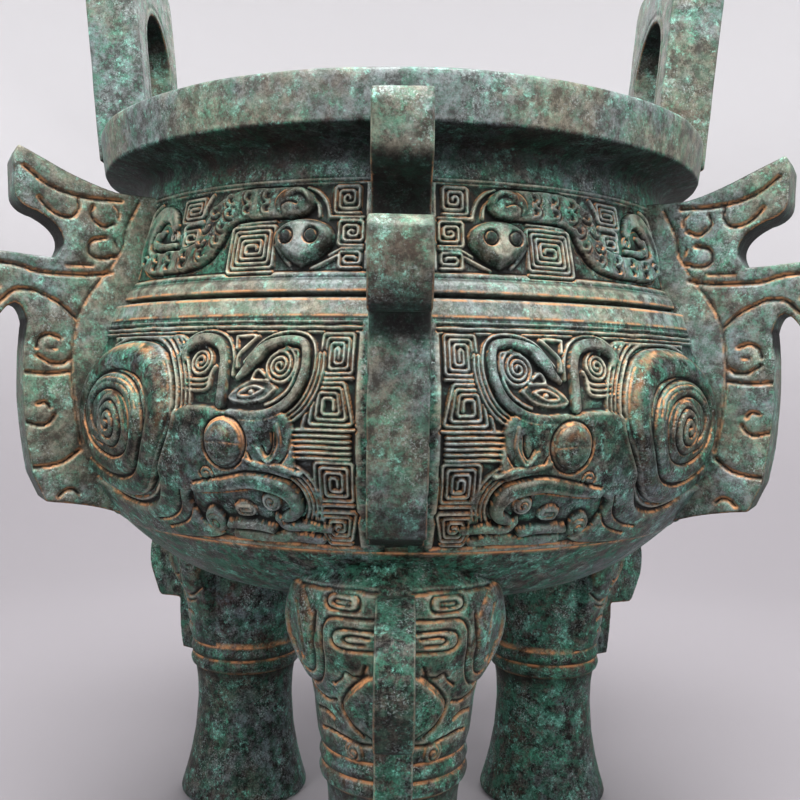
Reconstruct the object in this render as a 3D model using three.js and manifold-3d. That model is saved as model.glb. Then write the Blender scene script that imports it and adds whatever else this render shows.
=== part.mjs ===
// Bronze ding: a round bellied cauldron on three column legs, cast in one piece.
// Millimetres, +Z up, the ground at z = 0 and the vessel's axis on x = y = 0. The front leg is at -Y.
// An azimuth is in degrees round the axis: 0 faces -Y and 90 faces +X.

import * as THREE from 'three';
import { mergeVertices } from 'three/addons/utils/BufferGeometryUtils.js';
import Module from 'manifold-3d';

const wasm = await Module();
wasm.setup();

// Driving dimensions
const rimRadius = 130;
const rimHeight = 304.7;
const lipDepth = 16.3;
const mouthRadius = 105.5;
const neckRadius = 113.5;
const neckTop = 283;
const bellyRadius = 139.5;
const bellyHeight = 188;
const bowlBottom = 113;
const wallThickness = 6;

const flangeThickness = 17.4;
const engravingDepth = 1.2;
const engravingWidth = 1.8;

const earWidth = 68;
const earThickness = 21.2;
const earLean = 5.5;
const earRise = 83.5;
const earHoleWidth = 40;
const earHoleBottom = 14;
const earHoleTop = 62;

const legCircle = 87;
const legRadius = 26;
const footRadius = 31;
const ringHeight = 69;
const maskRadius = 37.5;
const maskTop = 137;
const legFlangeThickness = 13;

const bowlSides = 30;
const cavitySides = 24;
const curveSteps = 3;
const sunk = 1.6;

const flangeAzimuths = [0, 60, 120, 180, 240, 300];
const legAzimuths = [0, 120, 240];
const earAzimuths = [90, 270];

// The outer wall, from the middle of the bottom up to the neck: the belly is one smooth curve
const bellyCurve = new THREE.SplineCurve([
  new THREE.Vector2(50, 116.7),
  new THREE.Vector2(91, 127),
  new THREE.Vector2(118, 146),
  new THREE.Vector2(135, 168),
  new THREE.Vector2(bellyRadius, bellyHeight),
  new THREE.Vector2(138, 206),
  new THREE.Vector2(131.2, 224),
]);
const bellyPoints = bellyCurve.getPoints(7);
const wallPoints = [
  ...bellyPoints,
  new THREE.Vector2(129, 231.2),
  new THREE.Vector2(124.5, 232.4),
  new THREE.Vector2(125.8, 234),
  new THREE.Vector2(122.2, 240),
  new THREE.Vector2(114.6, 272.6),
  new THREE.Vector2(neckRadius, neckTop),
];
const outerPoints = [
  new THREE.Vector2(0, bowlBottom),
  ...wallPoints,
  new THREE.Vector2(neckRadius + 6, neckTop + 2.2),
  new THREE.Vector2(rimRadius - 2, rimHeight - lipDepth),
  new THREE.Vector2(rimRadius, rimHeight - 2.5),
  new THREE.Vector2(rimRadius - 1.2, rimHeight),
  new THREE.Vector2(0, rimHeight),
];

// Outer radius and slope of the wall at a height
function wallAt(height) {
  let upper = wallPoints.findIndex((p) => p.y > height);
  upper = THREE.MathUtils.clamp(upper < 0 ? wallPoints.length : upper, 1, wallPoints.length - 1);
  const low = wallPoints[upper - 1];
  const high = wallPoints[upper];
  const slope = (high.x - low.x) / (high.y - low.y);
  return { radius: low.x + (height - low.y) * slope, slope };
}

// The hollow follows the wall, one wall thickness inside it, and opens at the mouth
function cavityPoints() {
  const floor = bowlBottom + wallThickness;
  const inner = [new THREE.Vector2(0, floor), new THREE.Vector2(48, floor + 3.4)];
  for (let i = 2; i < bellyPoints.length; i += 1) {
    const before = bellyPoints[i - 1];
    const after = bellyPoints[Math.min(i + 1, bellyPoints.length - 1)];
    const along = after.clone().sub(before).normalize();
    inner.push(new THREE.Vector2(
      bellyPoints[i].x - along.y * wallThickness,
      bellyPoints[i].y + along.x * wallThickness,
    ));
  }
  inner.push(new THREE.Vector2(neckRadius - wallThickness, neckTop - 8));
  inner.push(new THREE.Vector2(mouthRadius, rimHeight - 8));
  inner.push(new THREE.Vector2(mouthRadius, rimHeight + 10));
  inner.push(new THREE.Vector2(0, rimHeight + 10));
  return inner;
}

const outward = (azimuth) => {
  const a = THREE.MathUtils.degToRad(azimuth);
  return new THREE.Vector3(Math.sin(a), -Math.cos(a), 0);
};
const sideways = (azimuth) => outward(azimuth + 90);
const up = new THREE.Vector3(0, 0, 1);

// A closed mesh as a solid: shared points merged, slivers dropped, faces turned outwards
function toSolid(geometry) {
  const bare = geometry.clone();
  bare.deleteAttribute('normal');
  bare.deleteAttribute('uv');
  const merged = mergeVertices(bare, 1e-4);
  const position = merged.attributes.position;
  const index = merged.index.array;
  const triangles = [];
  const a = new THREE.Vector3();
  const b = new THREE.Vector3();
  const c = new THREE.Vector3();
  let volume = 0;
  for (let i = 0; i < index.length; i += 3) {
    const [p, q, r] = [index[i], index[i + 1], index[i + 2]];
    if (p === q || q === r || r === p) continue;
    triangles.push([p, q, r]);
    a.fromBufferAttribute(position, p);
    b.fromBufferAttribute(position, q);
    c.fromBufferAttribute(position, r);
    volume += a.dot(b.cross(c));
  }
  const facing = volume < 0 ? triangles.map(([p, q, r]) => [p, r, q]) : triangles;
  return new wasm.Manifold(new wasm.Mesh({
    numProp: 3,
    vertProperties: new Float32Array(position.array),
    triVerts: new Uint32Array(facing.flat()),
  }));
}

function toGeometry(solid) {
  const mesh = solid.getMesh();
  const geometry = new THREE.BufferGeometry();
  geometry.setAttribute('position', new THREE.BufferAttribute(new Float32Array(mesh.vertProperties), 3));
  geometry.setIndex(new THREE.BufferAttribute(new Uint32Array(mesh.triVerts), 1));
  geometry.computeVertexNormals();
  return geometry;
}

// A skin through rings of equal length, closed by a flat cap at each end
function loft(rings) {
  const size = rings[0].length;
  const triangles = [];
  for (let i = 0; i + 1 < rings.length; i += 1) {
    for (let j = 0; j < size; j += 1) {
      const k = (j + 1) % size;
      const [a, b, c, d] = [i * size + j, i * size + k, (i + 1) * size + k, (i + 1) * size + j];
      triangles.push(a, b, c, a, c, d);
    }
  }
  const last = (rings.length - 1) * size;
  for (let j = 1; j + 1 < size; j += 1) {
    triangles.push(0, j + 1, j, last, last + j, last + j + 1);
  }
  const geometry = new THREE.BufferGeometry();
  const numbers = rings.flat().flatMap((p) => [p.x, p.y, p.z]);
  geometry.setAttribute('position', new THREE.Float32BufferAttribute(numbers, 3));
  geometry.setIndex(triangles);
  return toSolid(geometry);
}

function lathe(points, sides) {
  return toSolid(new THREE.LatheGeometry(points, sides).rotateX(Math.PI / 2));
}

// A flat shape given thickness and stood up: its x runs outwards at the azimuth and its y up
function slab(shape, thickness, azimuth, sideOffset = 0) {
  const geometry = new THREE.ExtrudeGeometry(shape, {
    depth: thickness,
    bevelEnabled: false,
    curveSegments: curveSteps,
  });
  geometry.translate(0, 0, sideOffset - thickness / 2);
  const place = new THREE.Matrix4().makeBasis(outward(azimuth), up, sideways(azimuth).negate());
  return toSolid(geometry.applyMatrix4(place));
}

// Relief is laid out on a face in two measures: degrees round an axis, and height.
// Each face says where a point lies at a lift above it, and how many millimetres a degree is.
const bowlFace = {
  perDegree: (height) => THREE.MathUtils.degToRad(wallAt(height).radius),
  point(azimuth, height, lift) {
    const { radius, slope } = wallAt(height);
    const long = Math.hypot(1, slope);
    const place = outward(azimuth).multiplyScalar(radius + lift / long);
    place.z = height - (lift * slope) / long;
    return place;
  },
};

// A raised ridge along a path of [degrees, height]. Its width and lift vary along it.
function band(face, path, halfWidth, lift) {
  const rings = path.map(([angle, height], i) => {
    const before = path[Math.max(i - 1, 0)];
    const after = path[Math.min(i + 1, path.length - 1)];
    const scale = face.perDegree(height);
    const along = new THREE.Vector2((after[0] - before[0]) * scale, after[1] - before[1]).normalize();
    const share = i / (path.length - 1);
    const half = halfWidth(share);
    const at = (across, rise) => face.point(
      angle - (along.y * across) / scale,
      height + along.x * across,
      rise,
    );
    return [at(-half, -sunk), at(0, lift(share)), at(half, -sunk)];
  });
  return loft(rings);
}

const steady = (value) => () => value;
const taper = (from, to) => (share) => from + (to - from) * share;

// A raised plate with sloping edges, from an outline about a centre; a round one is an eye or a boss
function plate(face, centre, outline, lift, top = 0.7) {
  const scale = face.perDegree(centre[1]);
  const ring = (size, rise) => outline.map(([x, y]) => face.point(
    centre[0] + (x * size) / scale,
    centre[1] + y * size,
    rise,
  ));
  return loft([ring(1, -sunk), ring(top, lift)]);
}

const roundOutline = (radius, sides) => Array.from({ length: sides }, (_, i) => {
  const turn = (i / sides) * 2 * Math.PI;
  return [radius * Math.cos(turn), radius * Math.sin(turn)];
});

// A coil of [degrees, height], from an outer radius to an inner one, in millimetres on the face
function coil(face, centre, outer, inner, start, turns, steps, tall = 1) {
  const scale = face.perDegree(centre[1]);
  return Array.from({ length: steps + 1 }, (_, i) => {
    const share = i / steps;
    const turn = THREE.MathUtils.degToRad(start - turns * 360 * share);
    const radius = outer + (inner - outer) * share;
    return [centre[0] + (radius * Math.cos(turn)) / scale, centre[1] + radius * tall * Math.sin(turn)];
  });
}

// Mirrors a relief layout about the flange at azimuth 0, and carries it round to another one
const carried = (face, azimuth, side) => ({
  perDegree: face.perDegree,
  point: (angle, height, lift) => face.point(azimuth + side * angle, height, lift),
});

// The beast on the belly: a coiled body, a round eye, two horn curls and a trunk
function bellyBeast(face) {
  const body = coil(face, [44.8, 191], 20.5, 5.5, -55, 1.85, 14, 1.15);
  const horn = coil(face, [16.4, 209.3], 9, 3.4, -60, 1.15, 7, 1.05);
  const hook = coil(face, [28, 209.5], 8.6, 3.8, -115, 0.9, 5, 1.1);
  return [
    band(face, body, taper(5, 2.6), steady(4.6)),
    band(face, horn, taper(2.8, 2.2), steady(3.4)),
    band(face, hook, taper(2.8, 2.2), steady(3.4)),
    plate(face, [23.5, 185.6], roundOutline(7.2, 8), 4.6),
    band(face, [[28.5, 171.5], [19, 174], [13.4, 169], [13.6, 162]], taper(1.8, 3.2), steady(3.2)),
  ];
}

// The dragon in the neck frieze: a heart-shaped face, two eyes and a long body that doubles back
function friezeDragon(face) {
  const head = [[0, -8.6], [5.4, -2.4], [8.6, 3.2], [5.2, 8], [-5, 8], [-8.6, 3.2], [-5.6, -2.4]];
  const back = [
    [14.5, 264.8], [29.6, 265], [33.2, 260.5], [34, 249.5], [38, 245.8],
    [50, 245.8], [53.4, 251], [52.6, 262.5], [47, 265.5], [44.8, 257],
  ];
  return [
    plate(face, [15.3, 252], head, 3.4, 0.75),
    plate(face, [13.4, 252.8], roundOutline(2.5, 5), 4.6),
    plate(face, [17.4, 252.8], roundOutline(2.5, 5), 4.6),
    band(face, back, taper(5.4, 2.4), steady(2.8)),
  ];
}

// A flange: a flat upright fin with two beaks at the neck and a long blade down the belly
function flangeShape() {
  const shape = new THREE.Shape();
  shape.moveTo(110, 274);
  shape.lineTo(128.6, 274.4);
  shape.quadraticCurveTo(136, 275.5, 151.3, 282.6);
  shape.lineTo(163.4, 288);
  shape.lineTo(165, 284);
  shape.lineTo(163.6, 266.2);
  shape.quadraticCurveTo(141.5, 258, 150.5, 248.4);
  shape.lineTo(176, 249.6);
  shape.lineTo(179.6, 246);
  shape.quadraticCurveTo(179.6, 226, 171, 225.3);
  shape.quadraticCurveTo(163, 239, 160.4, 226);
  shape.quadraticCurveTo(163.6, 198, 158, 169);
  shape.lineTo(153.5, 159);
  shape.quadraticCurveTo(132, 157, 116, 148.5);
  return shape;
}

// The outline of a cut line of even width along points in the plane of a flange
function cutLine(points, width) {
  const path = points.map(([x, y]) => new THREE.Vector2(x, y));
  const edge = (side) => path.map((p, i) => {
    const along = path[Math.min(i + 1, path.length - 1)].clone().sub(path[Math.max(i - 1, 0)]).normalize();
    return new THREE.Vector2(p.x - along.y * side, p.y + along.x * side);
  });
  return new THREE.Shape([...edge(width / 2), ...edge(-width / 2).reverse()]);
}

// The lines cut in both cheeks of a flange, root end first
const flangeLines = [
  [[127, 272.6], [141, 274], [158, 281.5]],
  [[143, 227.5], [155, 236.6], [169.5, 233.5]],
];

function flange(azimuth) {
  let solid = slab(flangeShape(), flangeThickness, azimuth);
  const margin = 1;
  const sideOffset = (flangeThickness + margin - engravingDepth) / 2;
  for (const side of [-1, 1]) {
    for (const points of flangeLines) {
      const shape = cutLine(points, engravingWidth);
      solid = solid.subtract(slab(shape, engravingDepth + margin, azimuth, side * sideOffset));
    }
  }
  return solid;
}

// A leg: a waisted column with a double ring, and a beast mask wrapped round its outer half.
// Its sections are [height, column radius, mask radius]; without a mask the two are the same.
const legSections = [
  [0, footRadius - 1], [1.6, footRadius], [18, 26.8], [46, 23], [63, 24.6],
  [ringHeight - 4.6, legRadius + 0.8], [ringHeight - 1, legRadius + 0.8], [ringHeight, legRadius - 0.4],
  [ringHeight + 1, legRadius + 0.8], [ringHeight + 4.6, legRadius + 0.8], [ringHeight + 6, legRadius - 0.4],
  [84, legRadius, 27.5], [98, legRadius, 30], [110, legRadius, 34.6],
  [120, legRadius, maskRadius], [maskTop, legRadius, maskRadius - 1],
  [146, legRadius + 1, legRadius + 1],
];

// Directions round a leg, in degrees from its outer side; the mask ends at its two edges
const maskEdge = 88;
const legDirections = [0, 30, 60, maskEdge, maskEdge + 8, 138, 180];

function maskSection(height) {
  const upper = Math.max(1, legSections.findIndex(([z]) => z >= height));
  const [low, high] = [legSections[upper - 1], legSections[upper]];
  const share = (height - low[0]) / (high[0] - low[0]);
  return (low[2] ?? low[1]) + ((high[2] ?? high[1]) - (low[2] ?? low[1])) * share;
}

const legFace = (azimuth) => ({
  perDegree: (height) => THREE.MathUtils.degToRad(maskSection(height)),
  point(angle, height, lift) {
    const place = outward(azimuth + angle).multiplyScalar(maskSection(height) + lift);
    place.z = height;
    return place.add(outward(azimuth).multiplyScalar(legCircle));
  },
});

function legColumn(azimuth) {
  const directions = [...legDirections, ...legDirections.slice(1, -1).reverse().map((d) => -d)];
  const centre = outward(azimuth).multiplyScalar(legCircle);
  const rings = legSections.map(([height, column, mask = column]) => directions.map((direction) => {
    const radius = Math.abs(direction) <= maskEdge ? mask : column;
    const place = outward(azimuth + direction).multiplyScalar(radius).add(centre);
    place.z = height;
    return place;
  }));
  return loft(rings);
}

// The fin down the front of a leg's mask: an upper stage, a step, and a lower stage over the ring
function legFin(azimuth) {
  const shape = new THREE.Shape();
  shape.moveTo(104, 136.4);
  shape.lineTo(128, 135.4);
  shape.lineTo(143.5, 126);
  shape.quadraticCurveTo(149.5, 116, 146.5, 104);
  shape.lineTo(140.5, 91);
  shape.lineTo(125.6, 91);
  shape.quadraticCurveTo(126.4, 78, 123.5, 64.6);
  shape.lineTo(104, 64.6);
  return slab(shape, legFlangeThickness, azimuth);
}

// The mask's raised parts, mirrored about the fin: an ear and a round eye
function legMask(face) {
  const ear = roundOutline(11, 8).map(([x, y]) => [x, y * 1.25]);
  return [
    plate(face, [62, 121], ear, 2.6),
    plate(face, [31, 98], roundOutline(3.8, 6), 2.8),
  ];
}

// A loop handle: an upright slab on the rim, leaning outwards, with an arched hole
function ear(azimuth) {
  const half = earWidth / 2;
  const corner = 9;
  const shape = new THREE.Shape();
  shape.moveTo(-half, -8);
  shape.lineTo(half, -8);
  shape.lineTo(half, earRise - corner);
  shape.quadraticCurveTo(half, earRise, half - corner, earRise);
  shape.lineTo(corner - half, earRise);
  shape.quadraticCurveTo(-half, earRise, -half, earRise - corner);
  const hole = new THREE.Path();
  const arch = earHoleWidth / 2;
  hole.moveTo(-arch, earHoleBottom);
  hole.lineTo(-arch, earHoleTop - arch);
  hole.absarc(0, earHoleTop - arch, arch, Math.PI, 0, true);
  hole.lineTo(arch, earHoleBottom);
  shape.holes.push(hole);
  const chamfer = 1.4;
  const geometry = new THREE.ExtrudeGeometry(shape, {
    depth: earThickness - 2 * chamfer,
    curveSegments: 4,
    bevelThickness: chamfer,
    bevelSize: chamfer,
    bevelOffset: -chamfer,
    bevelSegments: 1,
  });
  geometry.translate(0, 0, chamfer);
  const lean = THREE.MathUtils.degToRad(earLean);
  const rising = outward(azimuth).multiplyScalar(Math.sin(lean)).addScaledVector(up, Math.cos(lean));
  const facing = outward(azimuth).multiplyScalar(Math.cos(lean)).addScaledVector(up, -Math.sin(lean));
  const foot = outward(azimuth).multiplyScalar(mouthRadius + 0.3);
  foot.z = rimHeight;
  const place = new THREE.Matrix4().makeBasis(sideways(azimuth), rising, facing).setPosition(foot);
  return toSolid(geometry.applyMatrix4(place));
}

const joined = (solids) => wasm.Manifold.union(solids);

function vessel() {
  const outside = [lathe(outerPoints, bowlSides)];
  outside.push(...flangeAzimuths.map(flange));
  for (const azimuth of legAzimuths) {
    outside.push(legColumn(azimuth), legFin(azimuth));
    for (const side of [-1, 1]) {
      outside.push(...legMask(carried(legFace(azimuth), 0, side)));
      outside.push(...bellyBeast(carried(bowlFace, azimuth, side)));
      outside.push(...friezeDragon(carried(bowlFace, azimuth, side)));
    }
  }
  const hollowed = joined(outside).subtract(lathe(cavityPoints(), cavitySides));
  return joined([hollowed, ...earAzimuths.map(ear)]);
}

const bronze = new THREE.MeshStandardMaterial({ color: 0x3f4f49, roughness: 0.55, metalness: 0.7 });
const ding = new THREE.Mesh(toGeometry(vessel()), bronze);
ding.name = 'ding_vessel';

const group = new THREE.Group();
group.add(ding);

export default group;
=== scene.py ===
"""A round bronze ding on three column legs, dressed for the photograph's view.
Metres, +Z up, the vessel's axis on x = y = 0. Reliefs are worked out in millimetres.
An azimuth is in degrees round the axis: 0 faces -Y, where the front leg is, and 90 faces +X."""

import math

import bmesh
import bpy
import numpy as np
from mathutils import Matrix, Vector, kdtree


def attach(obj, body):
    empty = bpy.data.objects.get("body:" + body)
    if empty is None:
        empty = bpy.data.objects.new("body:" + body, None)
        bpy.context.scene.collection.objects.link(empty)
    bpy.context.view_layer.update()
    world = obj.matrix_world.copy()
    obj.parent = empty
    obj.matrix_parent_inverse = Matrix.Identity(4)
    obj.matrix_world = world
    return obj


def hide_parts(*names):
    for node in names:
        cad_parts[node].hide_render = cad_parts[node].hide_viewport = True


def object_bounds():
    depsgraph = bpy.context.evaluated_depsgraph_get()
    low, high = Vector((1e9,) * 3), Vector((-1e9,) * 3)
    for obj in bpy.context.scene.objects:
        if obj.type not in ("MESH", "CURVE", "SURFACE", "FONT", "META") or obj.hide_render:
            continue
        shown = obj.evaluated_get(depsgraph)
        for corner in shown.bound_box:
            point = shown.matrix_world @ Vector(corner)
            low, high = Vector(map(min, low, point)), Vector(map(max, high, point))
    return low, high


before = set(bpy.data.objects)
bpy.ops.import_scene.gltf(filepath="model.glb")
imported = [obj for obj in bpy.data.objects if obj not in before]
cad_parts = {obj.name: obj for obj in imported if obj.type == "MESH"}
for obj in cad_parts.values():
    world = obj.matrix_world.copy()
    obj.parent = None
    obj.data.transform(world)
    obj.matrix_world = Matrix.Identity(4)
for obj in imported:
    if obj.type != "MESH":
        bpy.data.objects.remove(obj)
cad_low, cad_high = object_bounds()

# Camera, floor and lights
# They are not part of the vessel. The camera stands 42 cm in front of the axis at two thirds of the
# rim's height, and a matte seamless sweep goes all the way round under wide soft lights.
frame_pixels = 800
focal_pixels = 930
centre_offset_pixels = 1.5
sensor_mm = 36
camera_distance = 0.4238
camera_height = 0.20715
camera_tilt = math.radians(1.5)
camera_roll = math.radians(0.84)


def linear(hex_colour):
    """An sRGB hex colour as linear light, with an alpha of 1."""
    parts = [int(hex_colour[i : i + 2], 16) / 255 for i in (1, 3, 5)]
    light = [c / 12.92 if c <= 0.04045 else ((c + 0.055) / 1.055) ** 2.4 for c in parts]
    return (*light, 1.0)


def add_node(tree, kind, links=None, **settings):
    """Adds a node with its settings. A link is a socket to join, a hex colour or a value for that input."""
    node = tree.nodes.new(kind)
    for name, value in settings.items():
        setattr(node, name, value)
    for name, value in (links or {}).items():
        if isinstance(value, bpy.types.NodeSocket):
            tree.links.new(value, node.inputs[name])
        else:
            node.inputs[name].default_value = linear(value) if isinstance(value, str) else value
    return node


def layered(tree, below, above, amount):
    """One colour over another by a mask."""
    links = {0: amount, 6: below, 7: above}
    return add_node(tree, "ShaderNodeMix", links, data_type="RGBA", clamp_factor=True).outputs[2]


def new_object(name, data):
    made = bpy.data.objects.new(name, data)
    bpy.context.scene.collection.objects.link(made)
    return made


def ring_faces(rings, sides, first=0):
    """Faces between rings of points that follow each other from the first point's number on."""
    faces = []
    for ring in range(rings - 1):
        low = first + ring * sides
        high = low + sides
        for side in range(sides):
            after = (side + 1) % sides
            faces.append((low + side, low + after, high + after, high + side))
    return faces


camera_data = bpy.data.cameras.new("camera")
camera_data.sensor_width = sensor_mm
camera_data.lens = focal_pixels / frame_pixels * sensor_mm
camera_data.shift_x = centre_offset_pixels / frame_pixels
camera_data.clip_start = 0.01
camera_data.clip_end = 20
camera = new_object("camera", camera_data)
forward = Vector((0, math.cos(camera_tilt), -math.sin(camera_tilt)))
level_up = Vector((0, math.sin(camera_tilt), math.cos(camera_tilt)))
level_right = Vector((1, 0, 0))
camera_right = level_right * math.cos(camera_roll) + level_up * math.sin(camera_roll)
camera_up = level_up * math.cos(camera_roll) - level_right * math.sin(camera_roll)
camera.matrix_world = Matrix(
    (
        (camera_right.x, camera_up.x, -forward.x, 0),
        (camera_right.y, camera_up.y, -forward.y, -camera_distance),
        (camera_right.z, camera_up.z, -forward.z, camera_height),
        (0, 0, 0, 1),
    )
)
bpy.context.scene.camera = camera

sweep_radius = 1.3
sweep_bend = 0.7
sweep_height = 2.4
sweep_sides = 96
sweep_drop = 0.0003
bend_steps = 12
sweep_profile = [(0.0, 0.0), (0.3, 0.0), (sweep_radius - sweep_bend, 0.0)]
for step in range(1, bend_steps + 1):
    turn = math.radians(90 * step / bend_steps)
    across = sweep_radius - sweep_bend + sweep_bend * math.sin(turn)
    sweep_profile.append((across, sweep_bend - sweep_bend * math.cos(turn)))
sweep_profile.append((sweep_radius, sweep_height))
sweep_points = []
for radius, height in sweep_profile:
    for side in range(sweep_sides):
        turn = 2 * math.pi * side / sweep_sides
        sweep_points.append((radius * math.cos(turn), radius * math.sin(turn), height - sweep_drop))
sweep_mesh = bpy.data.meshes.new("sweep")
sweep_mesh.from_pydata(sweep_points, [], ring_faces(len(sweep_profile), sweep_sides))
sweep_mesh.shade_smooth()
sweep = new_object("sweep", sweep_mesh)
# Matte paper that takes soft shadows: a neutral grey with painted light, paler up the wall than on the floor
paper = bpy.data.materials.new("matte_paper")
paper.use_nodes = True
paper_tree = paper.node_tree
paper_shader = paper_tree.nodes["Principled BSDF"]
paper_place = add_node(paper_tree, "ShaderNodeTexCoord").outputs["Object"]
paper_height = add_node(paper_tree, "ShaderNodeSeparateXYZ", {"Vector": paper_place}).outputs["Z"]
paper_levels = {"Value": paper_height, "From Min": 0.0, "From Max": 0.75}
paper_painted_light = add_node(paper_tree, "ShaderNodeMapRange", paper_levels, interpolation_type="SMOOTHSTEP")
paper_colour = layered(paper_tree, "#8B878B", "#CCCBCD", paper_painted_light.outputs["Result"])
paper_tree.links.new(paper_colour, paper_shader.inputs["Base Color"])
paper_shader.inputs["Roughness"].default_value = 0.9
sweep_mesh.materials.append(paper)

world = bpy.data.worlds.new("room")
world.use_nodes = True
world.node_tree.nodes["Background"].inputs["Color"].default_value = linear("#F4F3F3")
world.node_tree.nodes["Background"].inputs["Strength"].default_value = 0.6
bpy.context.scene.world = world

# name, place, aim, width and depth in metres, watts
for light_name, light_place, light_aim, light_size, light_watts in (
    ("overhead", (0.0, -0.4, 1.2), (0.0, 0.0, 0.2), (0.9, 0.6), 30),
    ("front_left", (-0.7, -0.85, 0.8), (0.0, 0.0, 0.22), (0.4, 0.4), 4.5),
    ("front_right", (0.75, -0.7, 0.75), (0.0, 0.0, 0.22), (0.4, 0.4), 4),
    ("back", (0.1, 0.9, 0.9), (0.0, 0.0, 0.25), (0.9, 0.6), 6),
):
    light_data = bpy.data.lights.new(light_name, "AREA")
    light_data.shape = "RECTANGLE"
    light_data.size, light_data.size_y = light_size
    light_data.energy = light_watts
    light = new_object(light_name, light_data)
    light.location = light_place
    light.rotation_mode = "QUATERNION"
    light.rotation_quaternion = (Vector(light_aim) - Vector(light_place)).to_track_quat("-Z", "Y")
    light.visible_camera = False
bpy.context.scene.view_settings.view_transform = "Standard"
bpy.context.scene.view_settings.exposure = 0.0

# The bowl
# One wall of cast bronze about 6 mm thick: a low bellied bowl, a plain raised band at the shoulder,
# a neck and a heavy flat lip. Its outside is sunk where the carved fields lie.
mm = 0.001
belly_points = [(50, 116.7), (91, 127), (118, 146), (135, 168), (139.5, 188), (138, 206), (131.2, 224)]
frieze_bottom = 239.0
frieze_top = 272.8
belly_field_bottom = 149.4
belly_field_top = 224.4
neck_radius = 113.5
neck_top = 283.0
rim_height = 304.7
mouth_radius = 105.5
wall_thickness = 6.0
field_depth = 1.7


def spline(knots, step):
    """A smooth curve through rows of numbers, with a point about every step along the first two."""
    knots = np.array(knots, float)
    padded = np.vstack([2 * knots[0] - knots[1], knots, 2 * knots[-1] - knots[-2]])
    made = [knots[0]]
    for i in range(len(knots) - 1):
        a, b, c, d = padded[i : i + 4]
        count = max(1, int(math.hypot(*(c - b)[:2]) / step))
        for t in np.arange(1, count + 1) / count:
            bend = (2 * a - 5 * b + 4 * c - d) * t**2 + (3 * b - a - 3 * c + d) * t**3
            made.append(b + 0.5 * ((c - a) * t + bend))
    return np.array(made)


belly_curve = spline(belly_points, 1.0)
neck_curve = np.array([(125.8, 234.0), (122.2, 240.0), (114.6, 272.6), (neck_radius, neck_top)])
wall_curve = np.vstack([belly_curve, [(129.0, 231.2)], neck_curve])


def wall_radius(height):
    return np.interp(height, wall_curve[:, 1], wall_curve[:, 0])


def wall_slope(height):
    """How much wider the wall gets for each millimetre up, averaged over a few millimetres."""
    reach = 1.5
    return (wall_radius(height + reach) - wall_radius(height - reach)) / (2 * reach)


def ground_height(radius):
    """Height of the bowl's underside at a radius."""
    low_side = belly_curve[belly_curve[:, 1] <= 188]
    return np.interp(radius, np.append(0.0, low_side[:, 0]), np.append(113.0, low_side[:, 1]))


def unevenness(points, size, seed):
    """A smooth wander from -1 to 1, repeating over about size millimetres, as hand-worked wax has."""
    chance = np.random.default_rng(seed)
    total = np.zeros(len(points))
    waves = 9
    for _ in range(waves):
        direction = chance.normal(size=3)
        direction *= 2 * math.pi / (size * chance.uniform(0.6, 1.6) * np.linalg.norm(direction))
        total += np.sin(points @ direction + chance.uniform(0, 2 * math.pi))
    return total / (waves / 2)


def rising(value, start, length):
    """0 up to a start, and 1 from a length beyond it."""
    return np.clip((value - start) / length, 0, 1)


def turn_outwards(mesh):
    """Turns the faces of a closed mesh outwards and shades them smooth."""
    turned = bmesh.new()
    turned.from_mesh(mesh)
    bmesh.ops.recalc_face_normals(turned, faces=turned.faces)
    turned.to_mesh(mesh)
    turned.free()
    mesh.shade_smooth()


def mesh_object(name, points_mm, faces):
    """A closed mesh from points in millimetres."""
    mesh = bpy.data.meshes.new(name)
    mesh.from_pydata((np.asarray(points_mm) * mm).tolist(), [], faces)
    turn_outwards(mesh)
    return new_object(name, mesh)


def mark(piece, painted_shade, earthy, wear_and_painted_highlight):
    """Keeps with each point its painted shade, its clay earth, and its wear with painted highlight, for the
    finish.
    """
    values = np.column_stack([painted_shade, earthy, wear_and_painted_highlight]).astype(np.float32)
    attribute = piece.data.attributes.new("relief", "FLOAT_VECTOR", "POINT")
    attribute.data.foreach_set("vector", values.ravel())


def points_of(piece, field="co"):
    flat = np.zeros(len(piece.data.vertices) * 3, np.float32)
    piece.data.vertices.foreach_get(field, flat)
    return flat.reshape(-1, 3).astype(float)


def sunk_wall(bottom, top, step):
    """The wall's outline across a carved field: down into it at the bottom, and back out at the top."""
    heights = np.arange(bottom + 0.3, top - 0.2, step)
    sunk = np.column_stack([wall_radius(heights) - field_depth, heights])
    return np.vstack([(wall_radius(bottom), bottom), sunk, (wall_radius(top), top)])


def shoulder_rows(step):
    """The plain band between the belly's field and the frieze, with a sharp groove under its edge."""
    corners = np.array(
        [(131.0, 224.6), (130.4, 226.5), (129.6, 229.0), (129.2, 230.6), (128.9, 231.4), (128.2, 231.9),
         (125.0, 232.1), (123.2, 232.4), (122.9, 232.9), (123.3, 233.5), (125.3, 233.8), (125.6, 234.3),
         (125.0, 236.5), (123.0, 238.8)]
    )
    along = np.append(0, np.cumsum(np.hypot(*np.diff(corners, axis=0).T)))
    places = np.arange(0, along[-1], step)
    return np.column_stack([np.interp(places, along, corners[:, 0]), np.interp(places, along, corners[:, 1])])


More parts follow.
